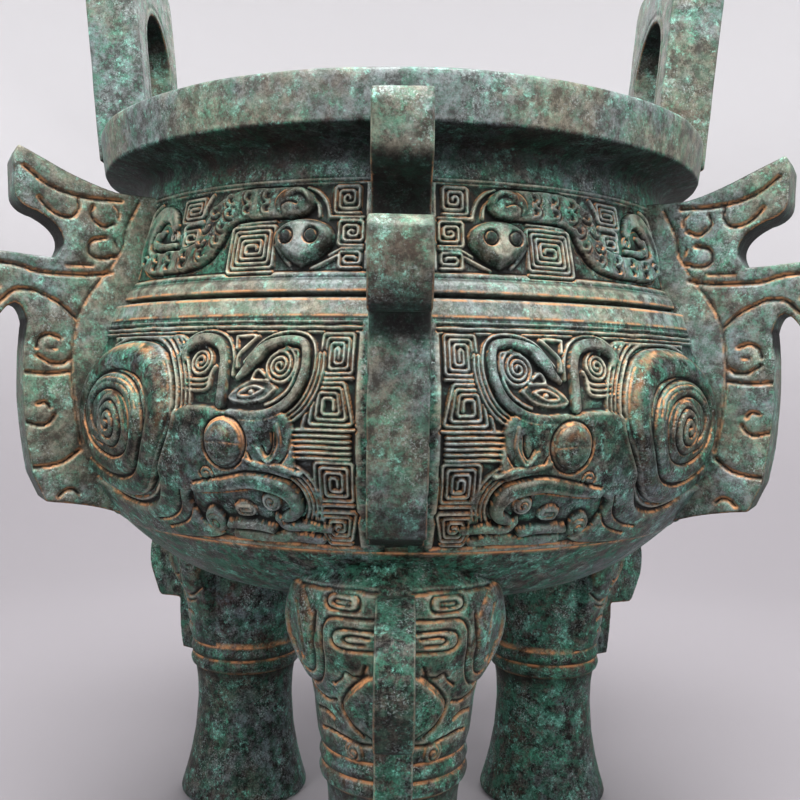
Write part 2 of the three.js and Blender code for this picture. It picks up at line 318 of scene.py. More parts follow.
outer_profile = np.vstack(
    [
        [(0.0, 113.0), (12.0, 113.1), (25.0, 113.8), (38.0, 115.0)],
        belly_curve[belly_curve[:, 1] < belly_field_bottom],
        sunk_wall(belly_field_bottom, belly_field_top, 3.0),
        shoulder_rows(0.4),
        sunk_wall(frieze_bottom, frieze_top, 3.0),
        [(114.4, 273.8), (114.1, 276.0), (113.6, 280.0), (113.9, 282.4), (116.0, 284.0), (119.5, 285.2)],
        [(124.0, 286.5), (127.2, 287.5), (127.8, 287.8), (128.1, 288.3), (128.2, 289.2), (128.6, 292.0)],
        [(129.2, 297.0), (129.8, 301.6), (129.8, 303.4)],
        [(129.4, 304.2), (128.6, 304.6), (126.8, 304.7), (120.0, 304.5), (112.0, 304.6), (107.6, 304.6)],
        [(106.0, 304.0), (105.5, 302.6), (105.6, 297.0), (107.4, 284.0), (108.0, 275.0)],
    ]
)
inner_heights = np.array([266, 256, 246, 238, 231, 224])
inner_wall = np.column_stack([wall_radius(inner_heights) - wall_thickness, inner_heights])
inner_belly = belly_curve[::-8].copy()
inner_slope = np.gradient(belly_curve[:, 0]) / np.gradient(belly_curve[:, 1])
inner_long = np.hypot(1, inner_slope)[::-8]
inner_belly[:, 0] -= wall_thickness / inner_long
inner_belly[:, 1] += wall_thickness * inner_slope[::-8] / inner_long
inner_floor = [(40.0, 121.4), (20.0, 119.4), (0.0, 119.0)]
bowl_profile = np.vstack([outer_profile, inner_wall, inner_belly[1:], inner_floor])


def lathe(name, profile, sides):
    """A body turned about the axis from an outline that starts and ends on it, with its lip uneven."""
    points = [(0.0, 0.0, profile[0][1])]
    for radius, height in profile[1:-1]:
        for side in range(sides):
            turn = 2 * math.pi * side / sides
            points.append((radius * math.sin(turn), -radius * math.cos(turn), height))
    points.append((0.0, 0.0, profile[-1][1]))
    rings = len(profile) - 2
    faces = ring_faces(rings, sides, 1)
    top_ring = 1 + (rings - 1) * sides
    for side in range(sides):
        after = (side + 1) % sides
        faces.append((0, 1 + after, 1 + side))
        faces.append((len(points) - 1, top_ring + side, top_ring + after))
    points = np.array(points)
    lip = np.clip((points[:, 2] - 284) / 4, 0, 1)
    outward = points[:, :2] / np.maximum(np.hypot(points[:, 0], points[:, 1]), 1)[:, None]
    points[:, :2] -= outward * (0.25 * lip * (1 + unevenness(points, 34, 3)))[:, None]
    points[:, 2] -= 0.2 * lip * (1 + unevenness(points, 41, 4))
    return mesh_object(name, points, faces)


# Cast bronze with an antique finish: chemical patina brushed on in green and blue-green over
# black-brown metal, red-brown oxide in places, clay-coloured earth left in the recesses, then waxed.
# It gives a mottled, mostly dull surface with a soft sheen. The raised tops are painted pale, part wear and
# part painted highlight, and the recesses get painted shade.
bronze = bpy.data.materials.new("patinated_bronze")
bronze.use_nodes = True
bronze_tree = bronze.node_tree
bronze_shader = bronze_tree.nodes["Principled BSDF"]


def shade(kind, links=None, **settings):
    return add_node(bronze_tree, kind, links, **settings)


place = shade("ShaderNodeTexCoord").outputs["Object"]


def spots(size_mm, low, high, detail, roughness, shift):
    """A cloudy mask with features of a real size: 0 below one level of the noise and 1 above another."""
    moved = shade("ShaderNodeMapping", {"Vector": place, "Location": (shift, shift * 0.7, -shift)}).outputs[0]
    noise = {"Vector": moved, "Scale": 1000 / size_mm, "Detail": detail, "Roughness": roughness}
    noise = shade("ShaderNodeTexNoise", noise).outputs["Fac"]
    levels = {"Value": noise, "From Min": low, "From Max": high}
    return shade("ShaderNodeMapRange", levels, interpolation_type="SMOOTHSTEP").outputs["Result"]


def reckon(operation, *values):
    node = shade("ShaderNodeMath", dict(enumerate(values)), operation=operation, use_clamp=True)
    return node.outputs["Value"]


def times(first, second):
    return reckon("MULTIPLY", first, second)


def at_least(mask, share, least):
    """A share of the mask, on top of the least that is everywhere."""
    return reckon("ADD", times(mask, share), least)


def cover(below, above, amount):
    return layered(bronze_tree, below, above, amount)


relief_values = shade("ShaderNodeAttribute", attribute_name="relief").outputs["Vector"]
painted_shade, earthy, wear_and_painted_highlight = shade("ShaderNodeSeparateXYZ", {"Vector": relief_values}).outputs

# size in mm, the two levels, detail, roughness, and a shift that sets each mask apart
bloom_mask = spots(5, 0.42, 0.64, 8.0, 0.82, 1.91)
speckle = spots(1.6, 0.47, 0.6, 6.0, 0.75, 0.47)
fine_speckle = spots(0.8, 0.5, 0.62, 4.0, 0.7, 0.61)
grit = spots(0.9, 0.36, 0.58, 3.0, 0.7, 4.1)
broad_clouds = spots(55, 0.38, 0.62, 3.0, 0.5, 0.11)
green_mask = times(spots(6, 0.46, 0.56, 8.0, 0.8, 0.31), at_least(broad_clouds, 0.6, 0.35))
turquoise_mask = times(spots(9, 0.53, 0.6, 9.0, 0.82, 0.83), at_least(speckle, 0.65, 0.2))
verdigris_mask = times(spots(24, 0.52, 0.6, 9.0, 0.8, 6.7), at_least(speckle, 0.7, 0.15))
rust_mask = times(spots(30, 0.52, 0.62, 6.0, 0.7, 1.37), 0.75)
pale_mask = times(spots(14, 0.46, 0.64, 8.0, 0.75, 2.7), times(fine_speckle, 0.6))
blue_mask = times(spots(48, 0.44, 0.6, 5.0, 0.65, 3.3), 0.6)
clear_of_pits = reckon("ADD", times(grit, 0.42), times(spots(4, 0.41, 0.53, 5.0, 0.7, 5.3), 0.4))
wear_and_painted_highlight_mask = times(wear_and_painted_highlight, at_least(bloom_mask, 0.55, 0.33))
earth_mask = times(earthy, at_least(spots(7, 0.42, 0.57, 6.0, 0.7, 2.3), 0.85, 0.15))

colour = cover("#14110F", "#68665B", bloom_mask)
for laid_colour, laid_mask in (
    ("#43312A", rust_mask),
    ("#336B56", green_mask),
    ("#6C7F8B", times(blue_mask, bloom_mask)),
    ("#4FA283", verdigris_mask),
    ("#86CFBB", turquoise_mask),
    ("#B2C2C0", pale_mask),
):
    colour = cover(colour, laid_colour, laid_mask)
colour = cover("#0B0908", colour, reckon("ADD", clear_of_pits, 0.18))
# pale on the raised tops and edges: part wear, part painted highlight where the light falls
colour = cover(colour, cover("#C0B9A3", "#8E9FA8", blue_mask), wear_and_painted_highlight_mask)
# painted shade: near black in the recesses, the grooves and under overhangs
colour = cover(colour, "#040302", times(painted_shade, 0.97))
colour = cover(colour, "#C98F60", earth_mask)

patina_cover = painted_shade
for patina_mask in (green_mask, turquoise_mask, verdigris_mask, earth_mask):
    patina_cover = reckon("MAXIMUM", patina_cover, patina_mask)
metal_share = times(reckon("SUBTRACT", 1.0, patina_cover), 0.55)
roughness = reckon("ADD", times(patina_cover, 0.24), at_least(bloom_mask, 0.12, 0.46))
normal = None
for noise_mm, noise_detail, noise_roughness, depth_mm in ((0.9, 6.0, 0.7, 0.22), (5, 4.0, 0.6, 0.5)):
    noise = {"Vector": place, "Scale": 1000 / noise_mm, "Detail": noise_detail, "Roughness": noise_roughness}
    height = shade("ShaderNodeTexNoise", noise).outputs["Fac"]
    bump = {"Height": height, "Strength": 0.6, "Distance": depth_mm * mm}
    if normal is not None:
        bump["Normal"] = normal
    normal = shade("ShaderNodeBump", bump).outputs["Normal"]
for input_name, value in (
    ("Base Color", colour), ("Metallic", metal_share), ("Roughness", roughness), ("Normal", normal)
):
    bronze_tree.links.new(value, bronze_shader.inputs[input_name])
bronze_shader.inputs["Specular IOR Level"].default_value = 0.25

bowl = lathe("bowl", bowl_profile, 168)
bowl_points = points_of(bowl) / mm
bowl_radius = np.hypot(bowl_points[:, 0], bowl_points[:, 1])
inner_reach = 110
outer_side = bowl_radius > inner_reach


def line_at(height, width):
    return np.exp(-(((bowl_points[:, 2] - height) / width) ** 2)) * outer_side


# painted shadow under the lip, and painted shade in the grooves round the shoulder band
under_lip = rising(bowl_points[:, 2], 274, 5) * rising(288.2, bowl_points[:, 2], 0.6)
bowl_painted_shade = np.max([line_at(232.8, 0.7), 0.9 * line_at(225.4, 0.35), 0.6 * line_at(238.2, 0.4)], axis=0)
bowl_painted_shade = np.maximum(bowl_painted_shade, 0.72 * under_lip * outer_side)
earth_lines = [line_at(231.3, 0.3), line_at(234.5, 0.35), 0.8 * line_at(226.2, 0.3), line_at(149.0, 0.5)]
bowl_earthy = np.max(earth_lines, axis=0)
# the lip and the shoulder band are painted pale: part wear, part painted highlight where the overhead light
# falls on them
lip_face = rising(bowl_points[:, 2], 288, 1) * (bowl_radius > 104)
band_face = rising(bowl_points[:, 2], 226, 1) * rising(239, bowl_points[:, 2], 1) * outer_side
mark(bowl, bowl_painted_shade, bowl_earthy, np.maximum(0.42 * lip_face, 0.55 * band_face))
bowl.data.materials.append(bronze)
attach(bowl, "root")
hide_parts("ding_vessel")

# The belly's relief
# Six carved fields between the flanges, mirrored in pairs about the flanges over the legs. Each has
# a beast with a round eye, two horn curls and a coiled body, on a ground of fine thunder pattern.
# They are cast with the wall from a mould pressed on a carved model.
belly_mm_per_degree = math.radians(138.7)
carved_ground = -1.2


class Relief:
    """Heights in millimetres over a carved face, in columns across it and rows up it."""

    def __init__(self, first, last, bottom, top, pitch, mm_per_unit):
        self.mm_per_unit = mm_per_unit
        columns = 8 * round((last - first) * mm_per_unit / pitch / 8) + 1
        rows = 8 * round((top - bottom) / pitch / 8) + 1
        self.across = np.linspace(first, last, columns) * mm_per_unit
        self.up = np.linspace(bottom, top, rows)
        self.height = np.zeros((rows, columns))

    def sink(self, left, right, bottom, top):
        """Lowers the part of the face inside a border to the ground between the threads."""
        across = self.across[None, :] / self.mm_per_unit
        up = self.up[:, None]
        inside = (across > left) & (across < right) & (up > bottom) & (up < top)
        self.height = np.where(inside, carved_ground, 0.0)

    def path(self, points, smooth=True):
        """A line through (place across, height) or (place across, height, half width), worked by hand."""
        knots = [(p[0] * self.mm_per_unit, p[1], p[2] if len(p) > 2 else 1.0) for p in points]
        if smooth:
            made = spline(knots, 0.8)
        else:
            made = [knots[0]]
            for start, end in zip(np.array(knots[:-1]), np.array(knots[1:])):
                count = max(1, int(math.hypot(*(end - start)[:2]) / 2))
                made.extend(start + (end - start) * i / count for i in range(1, count + 1))
            made = np.array(made)
        flat = np.column_stack([made[:, :2], np.zeros(len(made))])
        made[:, 0] += 0.16 * unevenness(flat, 13, 21)
        made[:, 1] += 0.16 * unevenness(flat, 13, 22)
        return made

    def straight(self, points):
        """A path with square corners."""
        return self.path(points, False)

    def drawn(self, points):
        """A path as it is, or a smooth one through a list of points."""
        return self.path(points) if isinstance(points, list) else points

    def spiral(self, centre, outer, inner, start, turns, tall=1.0):
        """A round spiral from its outer radius inwards; negative turns go clockwise."""
        steps = max(8, int(abs(turns) * 22))
        points = []
        for i in range(steps + 1):
            share = i / steps
            radius = outer + (inner - outer) * share
            turn = math.radians(start + 360 * turns * share)
            across = centre[0] + radius * math.cos(turn) / self.mm_per_unit
            points.append((across, centre[1] + radius * tall * math.sin(turn)))
        return self.path(points)

    def key(self, centre, wide, high, pitch, spread=0.0):
        """A squared spiral of thread. It is wider at the bottom where spread is above 0."""
        left, right, low, top = -wide, wide, -high, high
        corners = [(left, low)]
        while right - left > pitch * 0.9 and top - low > pitch * 0.9:
            corners.append((right, low))
            corners.append((right, top))
            corners.append((left, top))
            low += pitch
            corners.append((left, low))
            left += pitch
            right -= pitch
            top -= pitch
        round_off = pitch * 0.42
        eased = [corners[0]]
        for before, here, after in zip(corners[:-2], corners[1:-1], corners[2:]):
            for other in (before, after):
                away = math.dist(here, other)
                step = min(round_off, away * 0.45) / max(away, 1e-6)
                eased.append((here[0] + (other[0] - here[0]) * step, here[1] + (other[1] - here[1]) * step))
        eased.append(corners[-1])
        bent = [(x * (1 - spread * z / high), z) for x, z in eased]
        return self.straight([(centre[0] + x / self.mm_per_unit, centre[1] + z) for x, z in bent])

    def near(self, path, margin):
        """Distance to a path, and the path's half width there, at each point of the face near it."""
        path = self.drawn(path)
        distance = np.full(self.height.shape, 1e3)
        width = np.ones(self.height.shape)
        for start, end in zip(path[:-1], path[1:]):
            reach = max(start[2], end[2]) + margin
            least = np.minimum(start, end) - reach
            most = np.maximum(start, end) + reach
            first, last = np.searchsorted(self.across, (least[0], most[0]))
            low, high = np.searchsorted(self.up, (least[1], most[1]))
            if first == last or low == high:
                continue
            x = self.across[None, first:last] - start[0]
            z = self.up[low:high, None] - start[1]
            along = end[:2] - start[:2]
            share = np.clip((x * along[0] + z * along[1]) / max(along @ along, 1e-9), 0, 1)
            here = np.hypot(x - share * along[0], z - share * along[1])
            known = distance[low:high, first:last]
            closer = here < known
            known[closer] = here[closer]
            width[low:high, first:last][closer] = (start[2] + share * (end[2] - start[2]))[closer]
        return distance, width

    def threads(self, paths, half, height):
        """Fine rounded ridges, or grooves where the height is below 0."""
        most = np.zeros(self.height.shape)
        for path in paths:
            distance, _ = self.near(path, half)
            rounded = 0.5 + 0.5 * np.cos(math.pi * distance / half)
            most = np.maximum(most, np.where(distance < half, rounded, 0))
        self.height += height * most

    def fill(self, paths, pitch, ground):
        """Flat-topped threads of a thunder pattern at the wall's level, with ground close beside them."""
        closest = np.full(self.height.shape, 1e3)
        for path in paths:
            distance, _ = self.near(path, pitch)
            closest = np.minimum(closest, distance)
        fall = np.clip((closest - 0.17 * pitch) / (0.33 * pitch), 0, 1)
        top = ground * fall * fall * (3 - 2 * fall)
        self.height = np.where(closest < 0.62 * pitch, top, self.height)

    def lay(self, top, blend):
        """Puts a new top over the face, as far as the blend goes from 0 to 1."""
        self.height = self.height * (1 - blend) + top * blend

    def swell(self, path, lift, edge=1.0, level=0.0):
        """A raised band that covers what is under it: round, or flat topped where edge is small."""
        path = self.drawn(path)
        distance, width = self.near(path, 0.5)
        inside = np.clip((width - distance) / (width * edge), 0, 1)
        share = width / path[:, 2].max()
        top = level + lift * share * (1 - (1 - inside) ** 2)
        self.lay(top, np.clip((width - distance) / 0.5, 0, 1))

    def within(self, centre, wide, high):
        """1 in the middle of an oval, 0 on its edge and below 0 outside it."""
        x = (self.across[None, :] - centre[0] * self.mm_per_unit) / wide
        z = (self.up[:, None] - centre[1]) / high
        return 1 - np.hypot(x, z)

    def dome(self, centre, wide, high, lift, level=0.0):
        """A rounded boss on an oval, or a hollow where the lift is below 0."""
        inside = self.within(centre, wide, high)
        top = level + lift * np.sqrt(np.clip(inside * (2 - inside), 0, 1))
        self.lay(top, np.clip(inside * min(wide, high) / 0.4, 0, 1))

    def plateau(self, corners, lift, soft):
        """An area at one level or along a dome, with sloping edges."""
        edge = self.path([*corners, corners[0]])
        distance, _ = self.near(edge, soft + 1)
        inside = np.zeros(self.height.shape, bool)
        for (x0, z0, _), (x1, z1, _) in zip(edge[:-1], edge[1:]):
            crosses = (self.up > min(z0, z1)) & (self.up <= max(z0, z1))
            if z0 != z1 and crosses.any():
                at = x0 + (self.up[crosses] - z0) * (x1 - x0) / (z1 - z0)
                inside[crosses] ^= self.across[None, :] < at[:, None]
        blend = np.where(inside, np.clip(distance / soft, 0, 1), 0)
        self.lay(lift, blend * (2 - blend))

    def finish(self):
        """Softens the face as wax and casting do, and finds its recesses for painted shade, its earthy
        places, and its raised tops for wear with a painted highlight.
        """
        soft = np.pad(self.height, 1, mode="edge")
        soft = (soft[:-2] + 2 * soft[1:-1] + soft[2:]) / 4
        self.height = (soft[:, :-2] + 2 * soft[:, 1:-1] + soft[:, 2:]) / 4
        around = blurred(self.height, 1.8, self.up)
        rise = np.gradient(self.height, self.up, axis=0)
        hollow = around - self.height
        side = np.hypot(rise, np.gradient(self.height, self.across, axis=1))
        self.painted_shade = np.clip((hollow - 0.09) / 0.2, 0, 1)
        edge = np.clip(side * 1.6 - 0.3, 0, 1) * np.clip((hollow + 0.16) / 0.12, 0, 1)
        self.earthy = edge * np.clip((0.34 - hollow) / 0.16, 0, 1) * np.clip(0.4 - rise, 0, 1)
        self.wear_and_painted_highlight = np.clip((-hollow - 0.1) / 0.22, 0, 1) * np.interp(self.height, (0.3, 1.0), (1.0, 0.3))

    def oval(self, centre, wide, high):
        """1 inside an oval and 0 outside it, with a soft edge."""
        return np.clip(self.within(centre, wide, high) * 4, 0, 1)

    def sample(self, values, across_mm, up_mm):
        """Values of the face at places in millimetres, between its columns and rows."""
        column = (across_mm - self.across[0]) / (self.across[1] - self.across[0])
        column = np.clip(column, 0, len(self.across) - 1.001)
        row = np.clip((up_mm - self.up[0]) / (self.up[1] - self.up[0]), 0, len(self.up) - 1.001)
        c, r = column.astype(int), row.astype(int)
        u, v = column - c, row - r
        below = values[r, c] * (1 - u) + values[r, c + 1] * u
        above = values[r + 1, c] * (1 - u) + values[r + 1, c + 1] * u
        return below * (1 - v) + above * v


def blurred(field, size, steps):
    """A field averaged over about size millimetres each way."""
    reach = max(1, round(size / (steps[1] - steps[0]) / 2))
    for _ in range(2):
        for axis in (0, 1):
            wide = [(0, 0), (0, 0)]
            wide[axis] = (reach + 1, reach)
            total = np.cumsum(np.pad(field, wide, mode="edge"), axis=axis)
            count = 2 * reach + 1
            if axis == 0:
                field = (total[count:] - total[:-count]) / count
            else:
                field = (total[:, count:] - total[:, :-count]) / count
    return field


def beside(path, offset):
    """A path to the left of another, by a distance in millimetres, or to its right where it is below 0."""
    along = np.gradient(path[:, :2], axis=0)
    along /= np.maximum(np.linalg.norm(along, axis=1), 1e-6)[:, None]
    moved = path.copy()
    moved[:, 0] -= along[:, 1] * offset
    moved[:, 1] += along[:, 0] * offset
    moved[:, 2] = 1.0
    return moved


def wall_place(turn, height, lift):
    """Points on the belly or neck, in millimetres, at a lift off the wall."""
    slope = wall_slope(height)
    long = np.hypot(1, slope)
    radius = wall_radius(height) + lift / long
    return np.column_stack([radius * np.sin(turn), -radius * np.cos(turn), height - lift * slope / long])


def carved_belly():
    face = Relief(1.8, 58.2, belly_field_bottom, belly_field_top, 0.29, belly_mm_per_degree)
    face.sink(5.5, 56.6, 150.6, 220.4)
    for level in (223.2, 221.5):
        face.threads([face.straight([(5.2, level), (57.0, level)])], 0.6, carved_ground)
    face.threads([face.straight([(5.2, 150.4), (57.0, 150.4)])], 0.5, -0.7)

    # thunder pattern in the column beside the flange
    lines = [
        face.key((8.2, 213.2), 5.2, 7.0, 1.5),
        face.key((9.0, 197.4), 6.6, 7.4, 1.6, 0.28),
        face.key((8.3, 172.6), 6.0, 7.0, 1.6),
        face.key((8.4, 157.4), 5.6, 5.8, 1.6, -0.3),
    ]
    for number, level in enumerate(np.arange(180.9, 190.5, 1.8)):
        lines.append(face.straight([(6.2, level), (13.4 + 0.25 * (number % 2), level)]))
    # snout lines that ring the end of the trunk
    trunk = face.path(
        [(29.0, 169.8, 2.0), (24.8, 171.2, 2.5), (20.6, 173.2, 2.8), (17.2, 172.6, 3.0), (14.6, 170.2, 3.0),
         (13.7, 166.4, 2.7), (14.2, 162.8, 2.2), (16.0, 160.8, 1.4)]
    )
    snout = trunk[len(trunk) * 5 // 9 :]
    for number in range(4):
        lines.append(beside(snout, -(4.1 + 1.45 * number)))
    # lines that follow the first horn on its outer side
    horn = face.path(
        [(21.9, 205.8, 0.9), (20.6, 208.6, 1.8), (19.4, 212.4, 2.5), (18.0, 216.2, 2.0), (15.4, 217.9, 1.7),
         (12.9, 216.6, 1.8), (12.2, 210.6, 1.8), (12.7, 204.6, 1.8), (14.0, 199.4, 1.8), (16.3, 195.6, 1.8),
         (19.2, 194.0, 1.7), (22.6, 194.4, 1.7)]
    )
    outside = horn[len(horn) // 12 : len(horn) * 5 // 6]
    face.fill(lines, 1.6, carved_ground)
    lines = [beside(outside, -2.9)]
    lines.append(beside(horn[len(horn) * 4 // 9 : len(horn) * 4 // 5], -4.3))
    lines.append(beside(horn[len(horn) * 4 // 9 : len(horn) * 3 // 4], -5.7))
    face.fill(lines, 1.45, carved_ground)
    lines = [
        face.spiral((15.9, 209.9), 5.6, 0.6, 100, 3.2, tall=1.1),
        beside(horn[len(horn) // 4 : len(horn) * 4 // 5], 2.8),
    ]
    lines.append([(17.2, 205.0), (18.9, 208.6), (19.6, 205.2), (17.6, 204.6)])
    # the second horn, which hooks over to the right
    hook = face.path(
        [(24.0, 197.6, 1.9), (23.95, 205.0, 1.9), (24.2, 211.6, 2.0), (25.4, 216.4, 2.1), (27.6, 218.2, 2.2),
         (30.0, 217.4, 2.1), (31.4, 214.6, 1.7), (31.3, 211.8, 1.1)]
    )
    face.fill(lines, 1.6, carved_ground)
    lines = [face.spiral((28.4, 211.0), 4.8, 0.6, 60, 2.7, tall=1.05)]
    for number in range(3):
        low = 205.0 - 1.7 * number
        top = (25.9 + 0.2 * number, 209.4 - number)
        lines.append([top, (26.4, low + 1.2), (27.6, low), (30.4, low + 0.2)])
    lines.append(beside(hook[len(hook) // 4 :], 2.9))
    lines.append([(19.9, 219.4), (21.3, 216.4), (22.4, 213.2), (22.3, 209.2)])
    lines.append(face.straight([(20.4, 219.6), (23.2, 219.2), (22.9, 215.4)]))
    lines.append(face.straight([(31.6, 217.4), (33.2, 219.4), (34.8, 219.6), (33.4, 216.8), (32.2, 215.2)]))
    # the coiled body's lines sweep up between the hook and the coil
    body = face.path(
        [(57.0, 173.0, 3.0), (51.5, 169.6, 3.4), (46.6, 167.2, 3.6), (42.2, 167.6, 3.7), (39.0, 171.6, 3.8),
         (37.0, 178.6, 4.0), (35.3, 186.6, 4.6), (34.4, 194.6, 5.4), (34.9, 202.2, 6.0), (36.9, 208.8, 6.2),
         (40.2, 212.2, 5.8), (44.6, 212.8, 5.2), (49.2, 210.6, 4.8), (53.0, 205.2, 4.4), (55.4, 197.0, 4.0),
         (55.4, 188.0, 3.6), (52.6, 180.6, 3.4), (48.2, 176.2, 3.2), (43.8, 175.0, 3.1), (40.4, 178.6, 3.0),
         (38.9, 185.6, 2.9), (38.7, 193.6, 2.9), (40.4, 200.2, 2.8), (43.6, 203.6, 2.7), (47.4, 203.2, 2.6),
         (50.6, 198.8, 2.5), (51.4, 192.4, 2.4), (49.9, 186.6, 2.1), (47.0, 183.9, 1.6)]
    )
    outer_turn = body[: len(body) * 5 // 9]
    climb = body[len(body) * 5 // 24 : len(body) * 11 // 24]
    for number in range(4):
        follower = beside(climb, climb[:, 2] + 1.6 + 1.75 * number)
        follower[:, 1] = np.minimum(follower[:, 1], 219.3)
        lines.append(follower)
    face.fill(lines, 1.7, carved_ground)

    # the beast's face is a plain raised area with the features on it
    face.plateau(
        [(14.9, 196.0), (18.6, 194.6), (22.8, 195.6), (25.2, 196.8), (28.4, 197.2), (31.0, 195.8),
         (33.2, 192.6), (33.8, 185.0), (35.4, 176.0), (36.6, 168.0), (39.2, 162.6), (43.4, 160.4),
         (48.0, 161.6), (53.0, 165.4), (58.4, 170.0), (58.4, 151.0), (30.0, 151.0), (30.6, 158.0),
         (31.2, 166.0), (28.6, 169.6), (24.5, 171.6), (20.5, 174.4), (17.4, 175.4), (14.4, 174.2),
         (13.2, 178.0), (13.4, 186.0), (13.6, 192.0)],
        1.3,
        1.6,
    )
    face.swell(horn, 1.7, 0.45)
    face.swell(hook, 1.7, 0.45)
    leaf = [(16.2, 202.6), (17.8, 205.0), (19.8, 204.9), (21.6, 202.6), (23.0, 199.4), (20.8, 198.0)]
    leaf.append((18.0, 199.2))
    face.plateau(leaf, -0.5, 0.8)
    face.threads([[*leaf, leaf[0]]], 0.75, 0.9)
    inner_leaf = [(17.9, 202.2), (19.2, 203.2), (20.5, 202.2), (21.5, 200.2), (19.8, 199.9), (17.9, 202.2)]
    face.threads([inner_leaf], 0.65, 0.9)
    face.dome((19.6, 201.4), 1.1, 0.9, 0.9, -0.3)

    # the coil: one broad smooth dome, a low band that winds in over it, and a spiral boss in its eye
    inside = face.within((45.3, 190.9), 31.0, 27.5)
    crown = 3.3 * np.clip(inside * (2 - inside), 0, 1)
    face.plateau([(p[0] / face.mm_per_unit, p[1]) for p in outer_turn[::6]], crown + 0.2, 0.6)
    face.swell(body, 2.5, 1.0, crown + 0.3)
    half = body[:, 2]
    face.threads([beside(body, half + 0.4), beside(body, -half - 0.2)], 0.55, -0.9)
    low_turn = outer_turn[: len(outer_turn) * 3 // 5]
    face.threads([beside(low_turn, half[: len(low_turn)] + 1.7)], 0.7, 0.9)
    face.threads([beside(low_turn, half[: len(low_turn)] - 1.3)], 0.5, -0.6)
    face.dome((44.4, 190.0), 8.6, 9.6, 1.9, crown + 0.2)
    face.threads([face.spiral((44.4, 190.0), 7.9, 0.6, -60, -2.6, tall=1.12)], 0.8, -1.1)
    for number in range(3):
        shift = 1.6 * (number - 1)
        quarter = face.path([(38.2, 194.6), (39.4, 200.6), (42.6, 204.4), (47.2, 204.4), (50.6, 200.4)])
        face.threads([beside(quarter, shift)], 0.5, -0.55)

    # eye, inner corner of the eye, lip, trunk and jaws
    face.threads([face.spiral((23.3, 185.4), 7.9, 7.9, 0, 1.0, tall=1.07)], 0.7, -0.9)
    face.dome((23.3, 185.4), 6.7, 7.3, 3.4, 1.1)
    face.threads([[(20.7, 185.0), (23.0, 186.0), (25.9, 185.6)]], 0.45, -0.35)
    face.threads([[(15.5, 191.5), (15.2, 185.0), (16.7, 179.6), (18.3, 183.8)]], 0.7, 0.9)
    face.threads([[(16.2, 189.0), (16.3, 184.0), (17.0, 181.8), (17.6, 184.6)]], 0.6, -1.2)
    face.threads([[(13.6, 187.4), (14.4, 181.6), (16.0, 178.2), (18.6, 178.6), (19.8, 182.6)]], 0.7, -0.8)
    lip = [(12.6, 176.0, 0.9), (15.0, 177.8, 1.3), (18.2, 178.8, 1.2), (20.4, 180.2, 0.8)]
    face.swell(lip, 1.2, 0.8, 1.0)
    face.swell(trunk, 1.9, 0.6, 0.5)
    face.threads([beside(trunk, trunk[:, 2] + 0.4), beside(trunk, -trunk[:, 2] - 0.3)], 0.6, -0.9)
    face.threads([face.spiral((26.6, 174.6), 3.2, 0.9, 200, -1.4)], 0.6, -0.8)
    face.dome((17.5, 166.0), 3.4, 3.2, 1.0, -0.2)
    face.threads([face.spiral((17.5, 166.0), 3.2, 0.5, 40, 1.7)], 0.55, -0.7)
    face.dome((22.0, 162.8), 4.4, 2.9, 0.9, -0.2)
    face.threads([face.key((22.0, 162.7), 3.4, 2.2, 1.4)], 0.5, -0.7)
    face.swell([(9.4, 157.6, 1.2), (12.4, 159.0, 1.7), (15.6, 158.6, 1.6), (17.0, 161.2, 1.2)], 2.2, 0.7)
    face.swell([(18.2, 157.0, 1.5), (21.4, 158.2, 1.7), (25.2, 157.6, 1.6)], 2.2, 0.7)
    face.swell([(11.0, 153.4, 1.6), (15.0, 154.2, 2.0), (20.0, 153.6, 2.0), (25.0, 153.4, 1.8)], 1.6, 0.9)
    face.dome((27.6, 158.6), 4.2, 4.4, 2.2, 0.2)
    face.threads([face.spiral((27.6, 158.6), 3.4, 0.6, 160, -1.5)], 0.6, -0.8)
    cheek_lines = [
        [(30.4, 168.4), (31.4, 161.4), (34.2, 156.8), (38.6, 154.2)],
        [(32.2, 168.6), (33.4, 162.4), (36.2, 158.4), (40.6, 156.2)],
    ]
    face.threads(cheek_lines, 0.7, -0.9)
    face.finish()
    return face


def plain_mesh(source, name):
    """The object with its modifiers worked in, as a plain mesh. The source goes."""
    evaluated = source.evaluated_get(bpy.context.evaluated_depsgraph_get())
    mesh = bpy.data.meshes.new_from_object(evaluated)
    bpy.data.objects.remove(source)
    mesh.name = name
    return new_object(name, mesh)


def thinned(source, name, share):
    """A copy with a share of the faces, most of them where it is not flat, and the marks of the source."""
    marks = np.zeros(len(source.data.vertices) * 3, np.float32)
    source.data.attributes["relief"].data.foreach_get("vector", marks)
    tree = kdtree.KDTree(len(source.data.vertices))
    for number, vertex in enumerate(source.data.vertices):
        tree.insert(vertex.co, number)
    tree.balance()
    source.data.attributes.remove(source.data.attributes["relief"])
    thin = source.modifiers.new("thin", "DECIMATE")
    thin.ratio = share
    piece = plain_mesh(source, name)
    nearest = [tree.find(vertex.co)[1] for vertex in piece.data.vertices]
    mark(piece, *marks.reshape(-1, 3)[nearest].T)
    return piece


